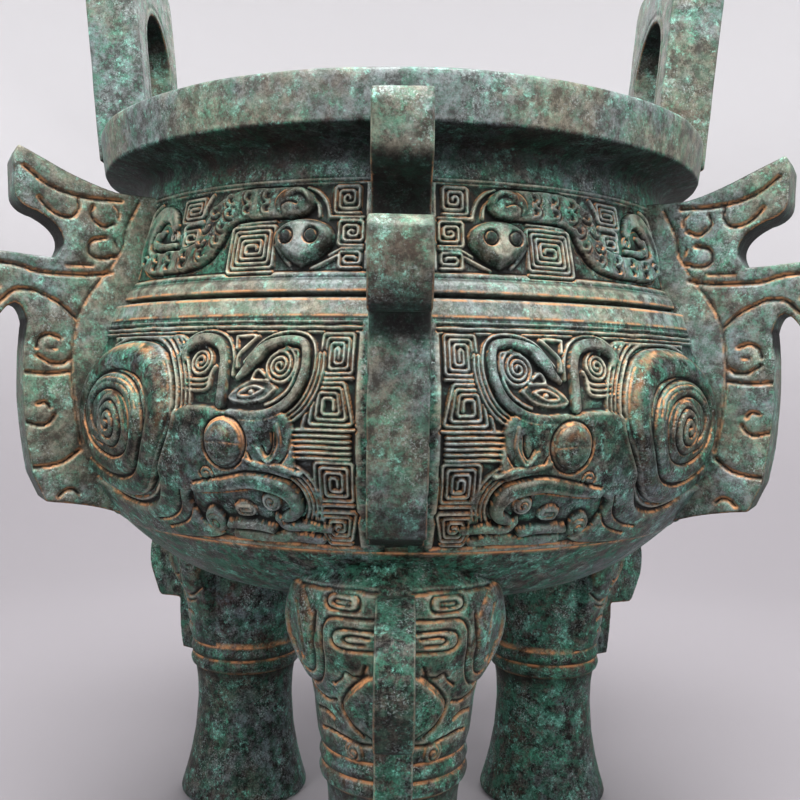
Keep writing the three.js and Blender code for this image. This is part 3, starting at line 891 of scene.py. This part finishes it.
def shell(name, face, put, mm_to_turn, share):
    """A closed shell with the carved face outside, thinned to a share of its faces."""
    rows, columns = face.height.shape
    x, z = np.meshgrid(face.across, face.up)
    outside = put(x.ravel() * mm_to_turn, z.ravel(), face.height.ravel())
    back_rows = np.arange(0, rows, 8)
    back_columns = np.arange(0, columns, 8)
    bx, bz = np.meshgrid(face.across[back_columns], face.up[back_rows])
    inside = put(bx.ravel() * mm_to_turn, bz.ravel(), np.full(bx.size, -field_depth - 0.6))
    points = np.vstack([outside, inside])
    number = np.arange(rows * columns).reshape(rows, columns)
    faces = np.column_stack(
        [number[:-1, :-1].ravel(), number[:-1, 1:].ravel(), number[1:, 1:].ravel(), number[1:, :-1].ravel()]
    ).tolist()
    back = rows * columns + np.arange(bx.size).reshape(bx.shape)
    faces += np.column_stack(
        [back[:-1, :-1].ravel(), back[1:, :-1].ravel(), back[1:, 1:].ravel(), back[:-1, 1:].ravel()]
    ).tolist()
    for fine, coarse in (
        (number[0], back[0]),
        (number[:, -1], back[:, -1]),
        (number[-1][::-1], back[-1][::-1]),
        (number[::-1, 0], back[::-1, 0]),
    ):
        for i in range(len(coarse) - 1):
            here = fine[8 * i : 8 * i + 9].tolist()
            a, b = int(coarse[i]), int(coarse[i + 1])
            faces += [(a, here[j + 1], here[j]) for j in range(4)]
            faces += [(b, here[j + 1], here[j]) for j in range(4, 8)]
            faces.append((a, b, here[4]))
    made = mesh_object(name + "_dense", points, faces)
    none = np.zeros(bx.size)
    mark(made, *(np.append(layer.ravel(), none) for layer in (face.painted_shade, face.earthy, face.wear_and_painted_highlight)))
    return thinned(made, name, share)


def round_tree():
    """Copies of a piece round the vessel's axis, each with its mirror image beside it if asked."""
    tree = bpy.data.node_groups.new("copies_round_axis", "GeometryNodeTree")
    tree.is_modifier = True
    for name, kind in (
        ("Geometry", "Geometry"),
        ("Copies", "Int"),
        ("First turn", "Float"),
        ("Turn between", "Float"),
        ("Mirrored too", "Bool"),
        ("Material", "Material"),
    ):
        tree.interface.new_socket(name, in_out="INPUT", socket_type="NodeSocket" + kind)
    tree.interface.new_socket("Geometry", in_out="OUTPUT", socket_type="NodeSocketGeometry")

    def step(kind, links=None, **settings):
        return add_node(tree, kind, links, **settings).outputs

    given = step("NodeGroupInput")
    shape = given["Geometry"]
    flipped = step("GeometryNodeTransform", {"Geometry": shape, "Scale": (-1, 1, 1)})[0]
    turned = step("GeometryNodeFlipFaces", {"Mesh": flipped})[0]
    pair = add_node(tree, "GeometryNodeJoinGeometry")
    for half in (turned, shape):
        tree.links.new(half, pair.inputs["Geometry"])
    choice = {"Switch": given["Mirrored too"], "False": shape, "True": pair.outputs[0]}
    chosen = step("GeometryNodeSwitch", choice, input_type="GEOMETRY")[0]
    centres = step("GeometryNodeMeshLine", {"Count": given["Copies"], "Offset": (0, 0, 0)})[0]
    number = step("GeometryNodeInputIndex")[0]
    turns = step("ShaderNodeMath", {0: number, 1: given["Turn between"]}, operation="MULTIPLY")[0]
    turns = step("ShaderNodeMath", {0: turns, 1: given["First turn"]}, operation="ADD")[0]
    rotation = step("ShaderNodeCombineXYZ", {"Z": turns})[0]
    placing = {"Points": centres, "Instance": chosen, "Rotation": rotation}
    placed = step("GeometryNodeInstanceOnPoints", placing)[0]
    real = step("GeometryNodeRealizeInstances", {"Geometry": placed})[0]
    dressed = step("GeometryNodeSetMaterial", {"Geometry": real, "Material": given["Material"]})[0]
    step("NodeGroupOutput", {"Geometry": dressed})
    return tree


copies_round_axis = round_tree()


def carry_round(source, name, copies, first_degrees, between_degrees, mirrored):
    """The source repeated round the axis as one piece of patinated bronze."""
    carried = new_object(name + "_source", source.data)
    modifier = carried.modifiers.new("round", "NODES")
    modifier.node_group = copies_round_axis
    sockets = {s.name: s.identifier for s in copies_round_axis.interface.items_tree if s.in_out == "INPUT"}
    modifier[sockets["Copies"]] = copies
    modifier[sockets["First turn"]] = math.radians(first_degrees)
    modifier[sockets["Turn between"]] = math.radians(between_degrees)
    modifier[sockets["Mirrored too"]] = mirrored
    modifier[sockets["Material"]] = bronze
    piece = plain_mesh(carried, name)
    turn_outwards(piece.data)
    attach(piece, "root")
    return piece


def carry_fields(name, face, mm_per_degree, share):
    """A carved field and its mirror image over each of the three legs, a piece for each leg."""
    field = shell(name, face, wall_place, math.radians(1) / mm_per_degree, share)
    for side, azimuth in (("front", 0), ("right", 120), ("left", 240)):
        carry_round(field, name + "_" + side, 1, azimuth, 0, True)
    bpy.data.objects.remove(field)


carry_fields("belly_relief", carved_belly(), belly_mm_per_degree, 0.3)

# The neck frieze
# Six panels between the flanges, mirrored as the belly's fields are. Each has a dragon with a
# heart-shaped face seen from above and a scaled body that doubles back, over thunder pattern.
frieze_mm_per_degree = math.radians(118)


def carved_frieze():
    face = Relief(1.8, 58.2, frieze_bottom, frieze_top, 0.28, frieze_mm_per_degree)
    face.sink(5.6, 56.4, 241.4, 271.0)
    for level in (241.2, 271.6):
        face.threads([face.straight([(5.2, level), (57.0, level)])], 0.6, -1.0)

    # thunder pattern in the spaces that the dragon leaves
    lines = [
        face.key((8.8, 265.3), 4.2, 4.6, 1.6),
        face.straight([(6.0, 259.3), (11.6, 259.3)]),
        face.key((8.0, 253.9), 4.0, 4.2, 1.6),
        face.straight([(6.0, 248.6), (9.4, 248.4), (11.2, 246.4)]),
        face.key((7.9, 244.8), 3.4, 2.6, 1.5),
        face.straight([(9.9, 246.2), (12.0, 244.0), (14.0, 242.0)]),
        [(17.6, 243.4), (18.6, 245.0), (19.6, 247.6), (20.4, 250.0)],
        face.key((25.0, 249.0), 8.6, 7.9, 1.6),
        [(21.0, 258.8), (24.0, 258.4), (29.0, 258.2)],
        face.key((39.6, 264.9), 5.6, 4.2, 1.6),
        [(36.8, 260.2), (40.8, 259.6), (41.2, 257.0)],
        face.key((39.1, 254.8), 3.6, 2.8, 1.5),
        [(11.6, 259.4), (11.9, 262.4), (12.6, 265.6), (13.9, 268.2), (15.8, 269.7)],
        [(13.3, 259.8), (13.6, 263.0), (14.6, 266.4), (16.0, 268.1), (18.4, 269.2)],
        [(35.3, 270.0), (36.2, 267.0), (36.6, 263.6)],
        face.straight([(56.0, 270.0), (56.0, 242.6)]),
        [(51.6, 270.0), (54.2, 267.4), (55.2, 262.0)],
        [(42.0, 250.9), (46.0, 250.7), (50.4, 251.2), (51.4, 254.0), (50.8, 259.0)],
    ]
    face.fill(lines, 1.6, carved_ground)

    # the body, with crescent scales in two rows at the shoulder and one row after it
    body = face.path(
        [(17.6, 264.8, 5.4), (24.0, 265.0, 5.6), (28.6, 264.6, 5.7), (31.8, 261.0, 5.8), (33.2, 255.4, 5.6),
         (35.2, 249.8, 5.0), (39.6, 247.0, 4.3), (44.5, 246.7, 4.1), (49.6, 247.0, 4.0), (52.8, 250.2, 3.8),
         (53.4, 256.0, 3.6), (52.0, 262.0, 3.2), (49.0, 265.6, 3.0), (45.9, 264.2, 2.8), (44.4, 260.2, 2.1)]
    )
    face.swell(body, 0.9, 0.2, 0.2)
    face.dome((17.6, 264.4), 7.4, 5.2, 1.8, 1.0)
    face.threads([beside(body, body[:, 2] + 0.3), beside(body, -body[:, 2] - 0.3)], 0.6, -0.9)
    # place, and the direction in degrees that the scale points
    for across, up, points in (
        (22.6, 267.2, 0), (22.6, 262.6, 0), (26.3, 267.2, 0), (26.3, 262.6, 0), (30.0, 266.6, -15),
        (29.9, 262.0, -15), (33.2, 263.0, -40), (31.2, 257.6, -75), (35.0, 258.0, -70), (32.0, 252.6, -75),
        (35.6, 253.0, -60), (35.0, 248.2, -40), (39.4, 249.0, -5), (39.4, 244.9, -5), (43.6, 248.8, 0),
        (43.6, 244.7, 0), (47.8, 248.8, 0), (47.8, 244.9, 0), (52.0, 247.8, 40),
    ):
        bow = [math.radians(points + t) for t in (-105, -70, -35, 0, 35, 70, 105)]
        for radius, height in ((0.6, -0.5), (1.9, 0.95), (2.9, -0.4)):
            wide = radius / face.mm_per_unit
            ring = [(across + wide * math.cos(t), up + radius * math.sin(t)) for t in bow]
            face.threads([ring], 0.75, height)

    # the head: a heart on its point, with two ringed eyes, and the crest behind it
    face.plateau(
        [(15.6, 242.2), (12.6, 245.4), (10.6, 249.8), (10.6, 254.4), (12.6, 257.8), (15.6, 259.2),
         (18.8, 258.0), (20.7, 254.4), (20.5, 250.0), (18.7, 245.4)],
        3.2,
        3.2,
    )
    for across in (14.1, 18.2):
        face.dome((across, 252.2), 2.1, 2.3, 1.0, 2.7)
        face.threads([face.spiral((across, 252.2), 2.3, 2.3, 0, 1.0, tall=1.08)], 0.6, -1.1)
    crest = [(14.8, 264.0, 0.8), (15.4, 266.4, 1.2), (16.8, 267.8, 1.3), (18.6, 266.4, 1.2)]
    face.swell(crest, 1.6, 0.8, 2.4)
    face.threads([[(17.0, 263.4), (18.5, 264.2), (19.8, 263.0), (19.7, 260.4)]], 0.6, -0.9)

    # the tail's curl
    tail = [(47.9, 258.8, 1.0), (49.7, 255.2, 1.7), (47.6, 253.0, 1.7), (43.2, 253.2, 1.1)]
    face.swell(tail, 1.8, 0.8, -0.4)
    face.threads([face.spiral((44.4, 256.4), 2.4, 0.5, 200, -1.6)], 0.6, 1.1)
    face.finish()
    # the forehead and nose are painted pale, part wear and part painted highlight, and the eyes get painted
    # shade
    face.wear_and_painted_highlight = np.maximum(face.wear_and_painted_highlight, 0.62 * face.oval((15.9, 251.0), 4.2, 7.4))
    for across in (14.1, 18.2):
        eye = face.oval((across, 252.2), 1.9, 2.1)
        face.wear_and_painted_highlight *= 1 - eye
        face.painted_shade = np.maximum(face.painted_shade, 0.8 * eye)
    return face


carry_fields("frieze", carved_frieze(), frieze_mm_per_degree, 0.32)

# The flanges
# Six flat fins 18 mm thick, cast with the wall. Each has two beaks at the neck and a long blade down
# the belly, a plain front edge, and cheeks carved with hooks, ovals and parallel lines.
flange_thickness = 18.0


def curve(start, control, end, steps=10):
    """Points along a quadratic curve, after its start."""
    made = []
    for step in range(1, steps + 1):
        t = step / steps
        made.append(
            tuple(start[i] * (1 - t) ** 2 + 2 * control[i] * t * (1 - t) + end[i] * t**2 for i in (0, 1))
        )
    return made


def slab(name, outline, thickness, hole=()):
    """An upright plate from an outline of (outward, height), with an opening if a hole is given."""
    rings = [list(outline), list(hole)] if hole else [list(outline)]
    plate = bmesh.new()
    edges = []
    for ring in rings:
        corners = [plate.verts.new((-thickness / 2 * mm, -across * mm, up * mm)) for across, up in ring]
        edges += [plate.edges.new((corners[i - 1], corners[i])) for i in range(len(corners))]
    bmesh.ops.triangle_fill(plate, use_beauty=True, edges=edges)
    whole = bmesh.ops.extrude_face_region(plate, geom=plate.faces[:])
    moved = [part for part in whole["geom"] if isinstance(part, bmesh.types.BMVert)]
    bmesh.ops.translate(plate, vec=(thickness * mm, 0, 0), verts=moved)
    bmesh.ops.recalc_face_normals(plate, faces=plate.faces)
    mesh = bpy.data.meshes.new(name)
    plate.to_mesh(mesh)
    plate.free()
    return new_object(name, mesh)


def softened(source, name, grain_mm, passes):
    """The piece as one even skin with its edges rounded off."""
    skin = source.modifiers.new("skin", "REMESH")
    skin.mode = "VOXEL"
    skin.voxel_size = grain_mm * mm
    worn_round = source.modifiers.new("worn_round", "SMOOTH")
    worn_round.factor = 0.6
    worn_round.iterations = passes
    return plain_mesh(source, name)


def move_points(piece, points_mm):
    piece.data.vertices.foreach_set("co", (points_mm * mm).astype(np.float32).ravel())
    piece.data.update()


def carve_cheeks(piece, cheek, rubbed_and_lit=0.0, shaded_hollows=((0, 0, 0),)):
    """Presses a carved face, laid out in (outward, height), into both flat sides of a plate. The front
    edge gets painted shade in its hollows: inside a reach outwards, from one height to another."""
    points = points_of(piece) / mm
    facing = points_of(piece, "normal")[:, 0]
    flat_side = np.clip((np.abs(facing) - 0.75) / 0.2, 0, 1)
    depth = cheek.sample(cheek.height, -points[:, 1], points[:, 2]) * flat_side
    points[:, 0] += np.sign(facing) * depth
    points += points_of(piece, "normal") * (0.12 * unevenness(points, 17, 31))[:, None]
    move_points(piece, points)
    reach, height = -points[:, 1], points[:, 2]
    layers = [cheek.painted_shade, cheek.earthy, cheek.wear_and_painted_highlight]
    layers = [cheek.sample(layer, reach, height) * flat_side for layer in layers]
    normal = points_of(piece, "normal")
    squareness = np.maximum(np.abs(normal[:, 0]), np.hypot(normal[:, 1], normal[:, 2]))
    edge = rising(0.95, squareness, 0.2)
    under = np.clip(-normal[:, 2] * 1.3, 0, 1)
    hollow = np.zeros(len(points))
    for furthest, low, high in shaded_hollows:
        inside = rising(furthest, reach, 6) * rising(height, low, 3) * (height < high)
        hollow = np.maximum(hollow, inside * (1 - flat_side))
    # painted shade on the faces that look down and in the front edge's hollows; the edges and, by the rubbed
    # share, the faces that do not look down are painted pale, part wear and part painted highlight
    mark(
        piece,
        np.max([layers[0], 0.85 * under, 0.93 * hollow], axis=0),
        np.maximum(layers[1], under * edge * 0.8),
        np.max([layers[2] * 0.6, edge * (1 - under) * 0.5, rubbed_and_lit * (1 - under) * (1 - hollow)], axis=0),
    )


def flange_outline():
    outline = [(110.0, 274.0), (128.6, 274.4)]
    outline += curve(outline[-1], (136, 275.5), (151.3, 282.6), 6)
    outline += [(163.4, 288.0), (165.0, 284.0), (164.8, 272.2)]
    outline += curve(outline[-1], (164.4, 266.4), (157.0, 264.8), 6)
    outline += curve(outline[-1], (143.0, 258), (150.5, 248.4))
    outline += [(176.0, 250.2), (179.4, 246.8)]
    outline += curve(outline[-1], (179.5, 225.2), (171, 224.4))
    outline += curve(outline[-1], (163, 238), (160.4, 225))
    outline += curve(outline[-1], (163.6, 198), (158, 169))
    outline += [(153.5, 159.0)]
    outline += curve(outline[-1], (132, 157), (116, 148.5))
    outline += [(122.0, 160.0), (130.0, 176.0), (134.0, 188.0), (132.6, 206.0), (126.0, 223.0)]
    outline += [(119.0, 236.0), (109.6, 260.0)]
    return outline


def flange_cheek():
    face = Relief(104, 182, 144, 292, 0.45, 1.0)
    root = [(120.6, 271.6), (125.0, 262.0), (126.6, 254.4), (131.4, 245.4), (138.2, 236.4), (142.4, 227.6),
            (144.2, 217.8), (145.0, 208.4), (143.6, 196.0), (141.2, 180.4)]
    wide_lines = [
        [(127.0, 271.4), (140.7, 271.4), (153.0, 274.7), (161.7, 280.7)],
        [(137.4, 268.6), (137.9, 264.6), (133.6, 261.2), (129.4, 262.8)],
        [(132.6, 257.2), (137.6, 255.8), (138.8, 251.6), (135.3, 249.3), (129.4, 250.4)],
        [(142.8, 270.6), (142.5, 266.9), (145.1, 263.7), (149.2, 263.9), (153.2, 266.2), (156.4, 270.0)],
        [(130.2, 244.4), (137.1, 243.0), (147.2, 242.5), (156.2, 243.0), (164.0, 245.0), (170.0, 245.6)],
        [(143.4, 226.9), (148.3, 231.2), (154.0, 234.5), (158.7, 236.5), (164.3, 235.9), (168.3, 232.5),
         (172.0, 229.6)],
        [(148.6, 219.1), (152.7, 220.4), (156.0, 218.6), (157.0, 215.4)],
        [(156.9, 212.7), (152.1, 210.0), (148.0, 210.0), (145.8, 211.6)],
        [(145.6, 206.9), (153.0, 206.0), (162.2, 206.7)],
        [(152.2, 193.6), (153.6, 195.4), (156.6, 195.0)],
        [(150.6, 191.0), (152.6, 188.0), (155.9, 187.1), (162.0, 188.8)],
        [(141.6, 177.9), (147.1, 173.8), (153.0, 172.1), (159.0, 171.9)],
        [(141.9, 161.6), (143.6, 163.1), (146.6, 162.9), (149.1, 160.9)],
    ]
    face.threads(wide_lines, 0.95, -1.7)
    thin_lines = [
        root,
        [(130.6, 270.0), (128.0, 267.4), (128.2, 264.6)],
        [(129.4, 256.4), (128.4, 253.4)],
        [(170.6, 245.4), (171.6, 241.0), (169.4, 236.6)],
        [(137.4, 246.6), (147.0, 246.2)],
        [(150.4, 215.4), (153.0, 215.4)],
    ]
    face.threads(thin_lines, 0.8, -0.9)
    strip = face.path(root)
    strip_edge = np.interp(face.up, strip[::-1, 1], strip[::-1, 0])
    on_strip = (face.across[None, :] < strip_edge[:, None] - 0.8) & (face.up[:, None] > 182)
    face.finish()
    face.earthy = np.clip(face.earthy * 1.6, 0, 1)
    # the strip by the wall is painted lighter towards its top and darker towards its bottom: painted
    # highlight above, painted shade below
    lighter_towards_top = np.clip((face.up[:, None] - 200) / 12, 0, 1)
    face.wear_and_painted_highlight = np.where(on_strip, 0.7 * lighter_towards_top, face.wear_and_painted_highlight)
    face.painted_shade = np.where(on_strip, np.maximum(face.painted_shade, 0.6 * (1 - lighter_towards_top)), face.painted_shade)
    return face


flange = slab("flange_plate", flange_outline(), flange_thickness)
flange = softened(flange, "flange_skin", grain_mm=0.62, passes=4)
# the front edge's hollows get painted shade, and the rubbed share paints the plate pale, part wear and part
# painted highlight
flange_shaded_hollows = ((162.0, 250.5, 288.0), (172.0, 216.0, 226.5))
carve_cheeks(flange, flange_cheek(), rubbed_and_lit=0.28, shaded_hollows=flange_shaded_hollows)
flange = thinned(flange, "flange", share=0.17)
carry_round(flange, "flanges", 6, 0, 60, False)
bpy.data.objects.remove(flange)

# The legs
# Three waisted columns with a double ring, cast with the bowl. The outer half of each carries a beast
# mask with ears, brow spirals and a nose, and a stepped fin stands down its middle.
leg_circle = 87.0
leg_top = 146.2
leg_root = 3.0
mask_bottom = 75.2
mask_edge_degrees = 88.0
mask_reach_degrees = 96
leg_fin_thickness = 13.0
mask_mm_per_degree = math.radians(36)
# height, and radius at the inner side
leg_column = [
    (0.0, 30.2), (0.5, 30.8), (1.6, 31.0), (3.4, 30.6), (10.0, 28.6), (18.0, 26.6), (30.0, 24.4),
    (46.0, 23.2), (56.0, 23.6), (62.6, 24.6), (64.0, 26.4), (66.2, 27.0), (68.2, 26.4), (69.0, 25.4),
    (69.8, 26.4), (72.0, 27.0), (74.2, 26.4), (75.2, 25.6), (78.0, 25.8), (98.0, 26.0), (120.0, 26.0),
    (137.0, 26.4), (146.0, 27.0),
]
# height, and radius at the mask
mask_column = [
    (75.2, 25.6), (76.4, 26.6), (80.0, 27.6), (86.0, 28.4), (92.0, 29.0), (98.0, 30.2), (104.0, 32.2),
    (110.0, 34.6), (116.0, 36.6), (122.0, 37.6), (130.0, 37.4), (135.4, 36.8), (137.0, 35.8),
    (138.4, 34.2), (141.4, 31.0), (146.0, 27.0),
]


def carved_mask():
    """The right half of the mask in (degrees from the fin, height). The left half is its mirror image."""
    face = Relief(0, mask_reach_degrees, 60, 150, 0.4, mask_mm_per_degree)
    # the ear stands out from the cheek, and lappets hang from the brow
    face.dome((68.0, 117.6), 14.0, 18.0, 3.0)
    face.dome((66.0, 118.6), 6.2, 11.6, -1.6, 2.4)
    grooves = [
        [(9.0, 136.2), (24.0, 136.4), (44.0, 135.8), (62.0, 135.2)],
        [(20.0, 134.8), (34.0, 134.9), (38.4, 133.4), (38.4, 131.0), (34.0, 129.6), (22.0, 129.6),
         (18.6, 131.0), (18.6, 133.4), (20.0, 134.8)],
        [(24.0, 132.8), (33.0, 132.8), (34.4, 131.8), (32.0, 131.2), (24.0, 131.4)],
        [(10.5, 127.4), (24.0, 127.3), (36.0, 126.8), (41.0, 123.4), (42.4, 117.6), (43.6, 111.6),
         (48.4, 105.6), (56.0, 101.4), (66.0, 99.8), (78.0, 101.6), (88.0, 105.0)],
        [(10.5, 123.4), (26.0, 123.6), (33.0, 122.6), (35.2, 119.8), (33.0, 117.2), (26.0, 116.4),
         (10.5, 116.8)],
        [(13.0, 121.4), (24.0, 121.4), (27.6, 119.9), (24.0, 118.6), (16.0, 118.8)],
        [(16.0, 111.4), (19.0, 107.8), (24.4, 106.8), (30.0, 108.2), (33.6, 105.4), (40.0, 102.8)],
        [(46.6, 127.4), (47.8, 119.0), (49.0, 112.0), (54.0, 106.4), (61.0, 104.8), (69.0, 107.6),
         (71.4, 114.0)],
        [(60.0, 129.6), (55.6, 122.0), (55.6, 114.0), (59.0, 109.8), (64.4, 110.2)],
        [(41.6, 96.4), (52.0, 95.6), (64.0, 96.4), (76.0, 98.4)],
        [(46.0, 89.6), (56.0, 90.8), (68.0, 90.0)],
        [(13.6, 82.4), (26.0, 82.2), (36.0, 83.6), (50.0, 84.4), (62.0, 83.6)],
    ]
    face.threads(grooves, 1.0, -1.25)
    # the wing of the nose, and the nostril's curl
    nose = [(8.0, 108.6), (14.0, 107.2), (25.0, 101.4), (34.0, 95.6), (29.0, 90.4), (20.0, 87.0), (8.0, 86.0)]
    face.plateau(nose, 2.0, 1.4)
    face.threads([[(16.0, 108.0), (27.0, 102.8), (37.0, 95.8), (31.6, 89.6), (21.0, 85.4)]], 1.0, -1.3)
    face.dome((29.0, 78.9), 4.6, 4.2, 1.6)
    face.threads([face.spiral((29.0, 78.9), 3.5, 0.8, 120, -1.6)], 0.75, -1.1)
    face.finish()
    return face


def leg_points(mask):
    """A grid round the leg: fine over the mask, coarse elsewhere. Its hidden top folds in under the bowl."""
    fine = np.arange(0, mask_reach_degrees + 1, 0.65)
    right_side = np.append(fine, np.arange(101, 180, 5.5))
    around = np.append(-right_side[:0:-1], right_side)
    heights = np.concatenate([[0, 0.5, 1.6, 3.4], np.arange(6, 60, 3.0), np.arange(61, leg_top, 0.42)])
    turn, height = np.meshgrid(around, heights)
    column = np.interp(height, *np.array(leg_column).T)
    masked = np.where(height > mask_bottom, np.interp(height, *np.array(mask_column).T), column)
    share = np.clip((mask_reach_degrees - np.abs(turn)) / (mask_reach_degrees - mask_edge_degrees), 0, 1)
    on_mask = share * share * (3 - 2 * share)
    radius = column + (masked - column) * on_mask
    places = (np.abs(turn).ravel() * mask.mm_per_unit, height.ravel())
    shown = (on_mask * (height > 61)).ravel()
    fade = np.clip((139.0 - height.ravel()) / 2.4, 0, 1)
    radius = radius.ravel() + mask.sample(mask.height, *places) * shown * fade
    layers = [mask.sample(layer, *places) * shown * fade for layer in (mask.painted_shade, mask.earthy, mask.wear_and_painted_highlight)]
    height = height.ravel()
    rings = [np.exp(-(((height - z) / 0.45) ** 2)) for z in (63.2, 68.9, 75.3)]
    # painted shade along the grooves of the double ring
    shaded_grooves = [np.exp(-(((height - z) / 0.6) ** 2)) for z in (62.4, 69.6, 76.0)]
    layers[0] = np.maximum(layers[0], 0.8 * np.max(shaded_grooves, axis=0))
    layers[1] = np.maximum(layers[1], np.max(rings, axis=0))
    angle = np.radians(turn.ravel())
    for _ in range(3):
        x = radius * np.sin(angle)
        y = -leg_circle - radius * np.cos(angle)
        roof = ground_height(np.hypot(x, y)) + leg_root
        over = np.clip(height - roof, 0, None)
        radius = radius - 0.35 * over
        height = height - 0.7 * over
    x = radius * np.sin(angle)
    y = -leg_circle - radius * np.cos(angle)
    height = np.minimum(height, ground_height(np.hypot(x, y)) + leg_root)
    return np.column_stack([x, y, height]), layers, turn.shape


def leg_piece(mask):
    points, layers, (rows, columns) = leg_points(mask)
    ends = [(0, -leg_circle, 0.0), (0, -leg_circle, ground_height(leg_circle) + leg_root)]
    points = np.vstack([points, ends])
    faces = ring_faces(rows, columns)
    for column in range(columns):
        after = (column + 1) % columns
        faces.append((rows * columns, after, column))
        faces.append((rows * columns + 1, (rows - 1) * columns + column, (rows - 1) * columns + after))
    made = mesh_object("leg_dense", points, faces)
    mark(made, *(np.append(layer, [0, 0]) for layer in layers))
    return thinned(made, "leg", share=0.27)


def leg_fin_outline():
    outline = [(104.0, 136.4), (127.6, 135.6), (143.5, 126.0)]
    outline += curve(outline[-1], (149.5, 116), (146.5, 104))
    outline += [(140.8, 91.0), (139.0, 89.8), (126.0, 90.4)]
    outline += curve(outline[-1], (126.6, 78), (123.8, 64.8))
    outline += [(104.0, 64.6)]
    return outline


leg = leg_piece(carved_mask())
carry_round(leg, "legs", 3, 0, 120, False)
bpy.data.objects.remove(leg)
leg_fin = slab("leg_fin_plate", leg_fin_outline(), leg_fin_thickness)
leg_fin = softened(leg_fin, "leg_fin_skin", grain_mm=0.6, passes=4)
plain_cheek = Relief(100, 152, 60, 140, 0.9, 1.0)
plain_cheek.finish()
carve_cheeks(leg_fin, plain_cheek)
leg_fin = thinned(leg_fin, "leg_fin", share=0.2)
carry_round(leg_fin, "leg_fins", 3, 0, 120, False)
bpy.data.objects.remove(leg_fin)

# The handles
# Two upright loops cast on the lip at the sides. Each is a thick slab with an arched hole, it leans
# outwards a little, and its faces are plain but for one thin line round the hole.
handle_width = 68.0
handle_thickness = 21.2
handle_rise = 83.5
handle_lean = math.radians(5.5)
handle_corner = 9.0
hole_width = 40.0
hole_bottom = 14.0
hole_top = 62.0
line_gap = 3.4


def arch(half, bottom, top):
    """An opening with upright sides and a round head, in (across, height)."""
    steps = 14
    turns = [math.pi * step / steps for step in range(steps + 1)]
    head = [(half * math.cos(turn), top - half + half * math.sin(turn)) for turn in turns]
    return [(half, bottom), *head, (-half, bottom)]


def handle_piece():
    half = handle_width / 2
    outline = [(-half, -8.0), (half, -8.0), (half, handle_rise - handle_corner)]
    outline += curve(outline[-1], (half, handle_rise), (half - handle_corner, handle_rise), 6)
    outline += [(handle_corner - half, handle_rise)]
    outline += curve(outline[-1], (-half, handle_rise), (-half, handle_rise - handle_corner), 6)
    plate = slab("handle_plate", outline, handle_thickness, arch(hole_width / 2, hole_bottom, hole_top))
    skin = softened(plate, "handle_skin", grain_mm=0.8, passes=6)
    face = Relief(-38, 38, -12, 90, 0.6, 1.0)
    line = arch(hole_width / 2 + line_gap, hole_bottom - line_gap, hole_top + line_gap)
    face.threads([face.straight([*line, line[0]])], 0.7, -0.7)
    face.finish()
    # the rubbed share paints the handle pale, part wear and part painted highlight
    carve_cheeks(skin, face, rubbed_and_lit=0.26)
    points = points_of(skin) / mm
    across, up, thick = -points[:, 1], points[:, 2], -points[:, 0] + handle_thickness / 2
    outward = mouth_radius + 0.3 + thick * math.cos(handle_lean) + up * math.sin(handle_lean)
    height = rim_height + up * math.cos(handle_lean) - thick * math.sin(handle_lean)
    height = np.minimum(height, cad_high[2] / mm - 0.1)
    move_points(skin, np.column_stack([across, -outward, height]))
    return thinned(skin, "handle", share=0.18)


handle = handle_piece()
carry_round(handle, "handles", 2, 90, 180, False)
bpy.data.objects.remove(handle)
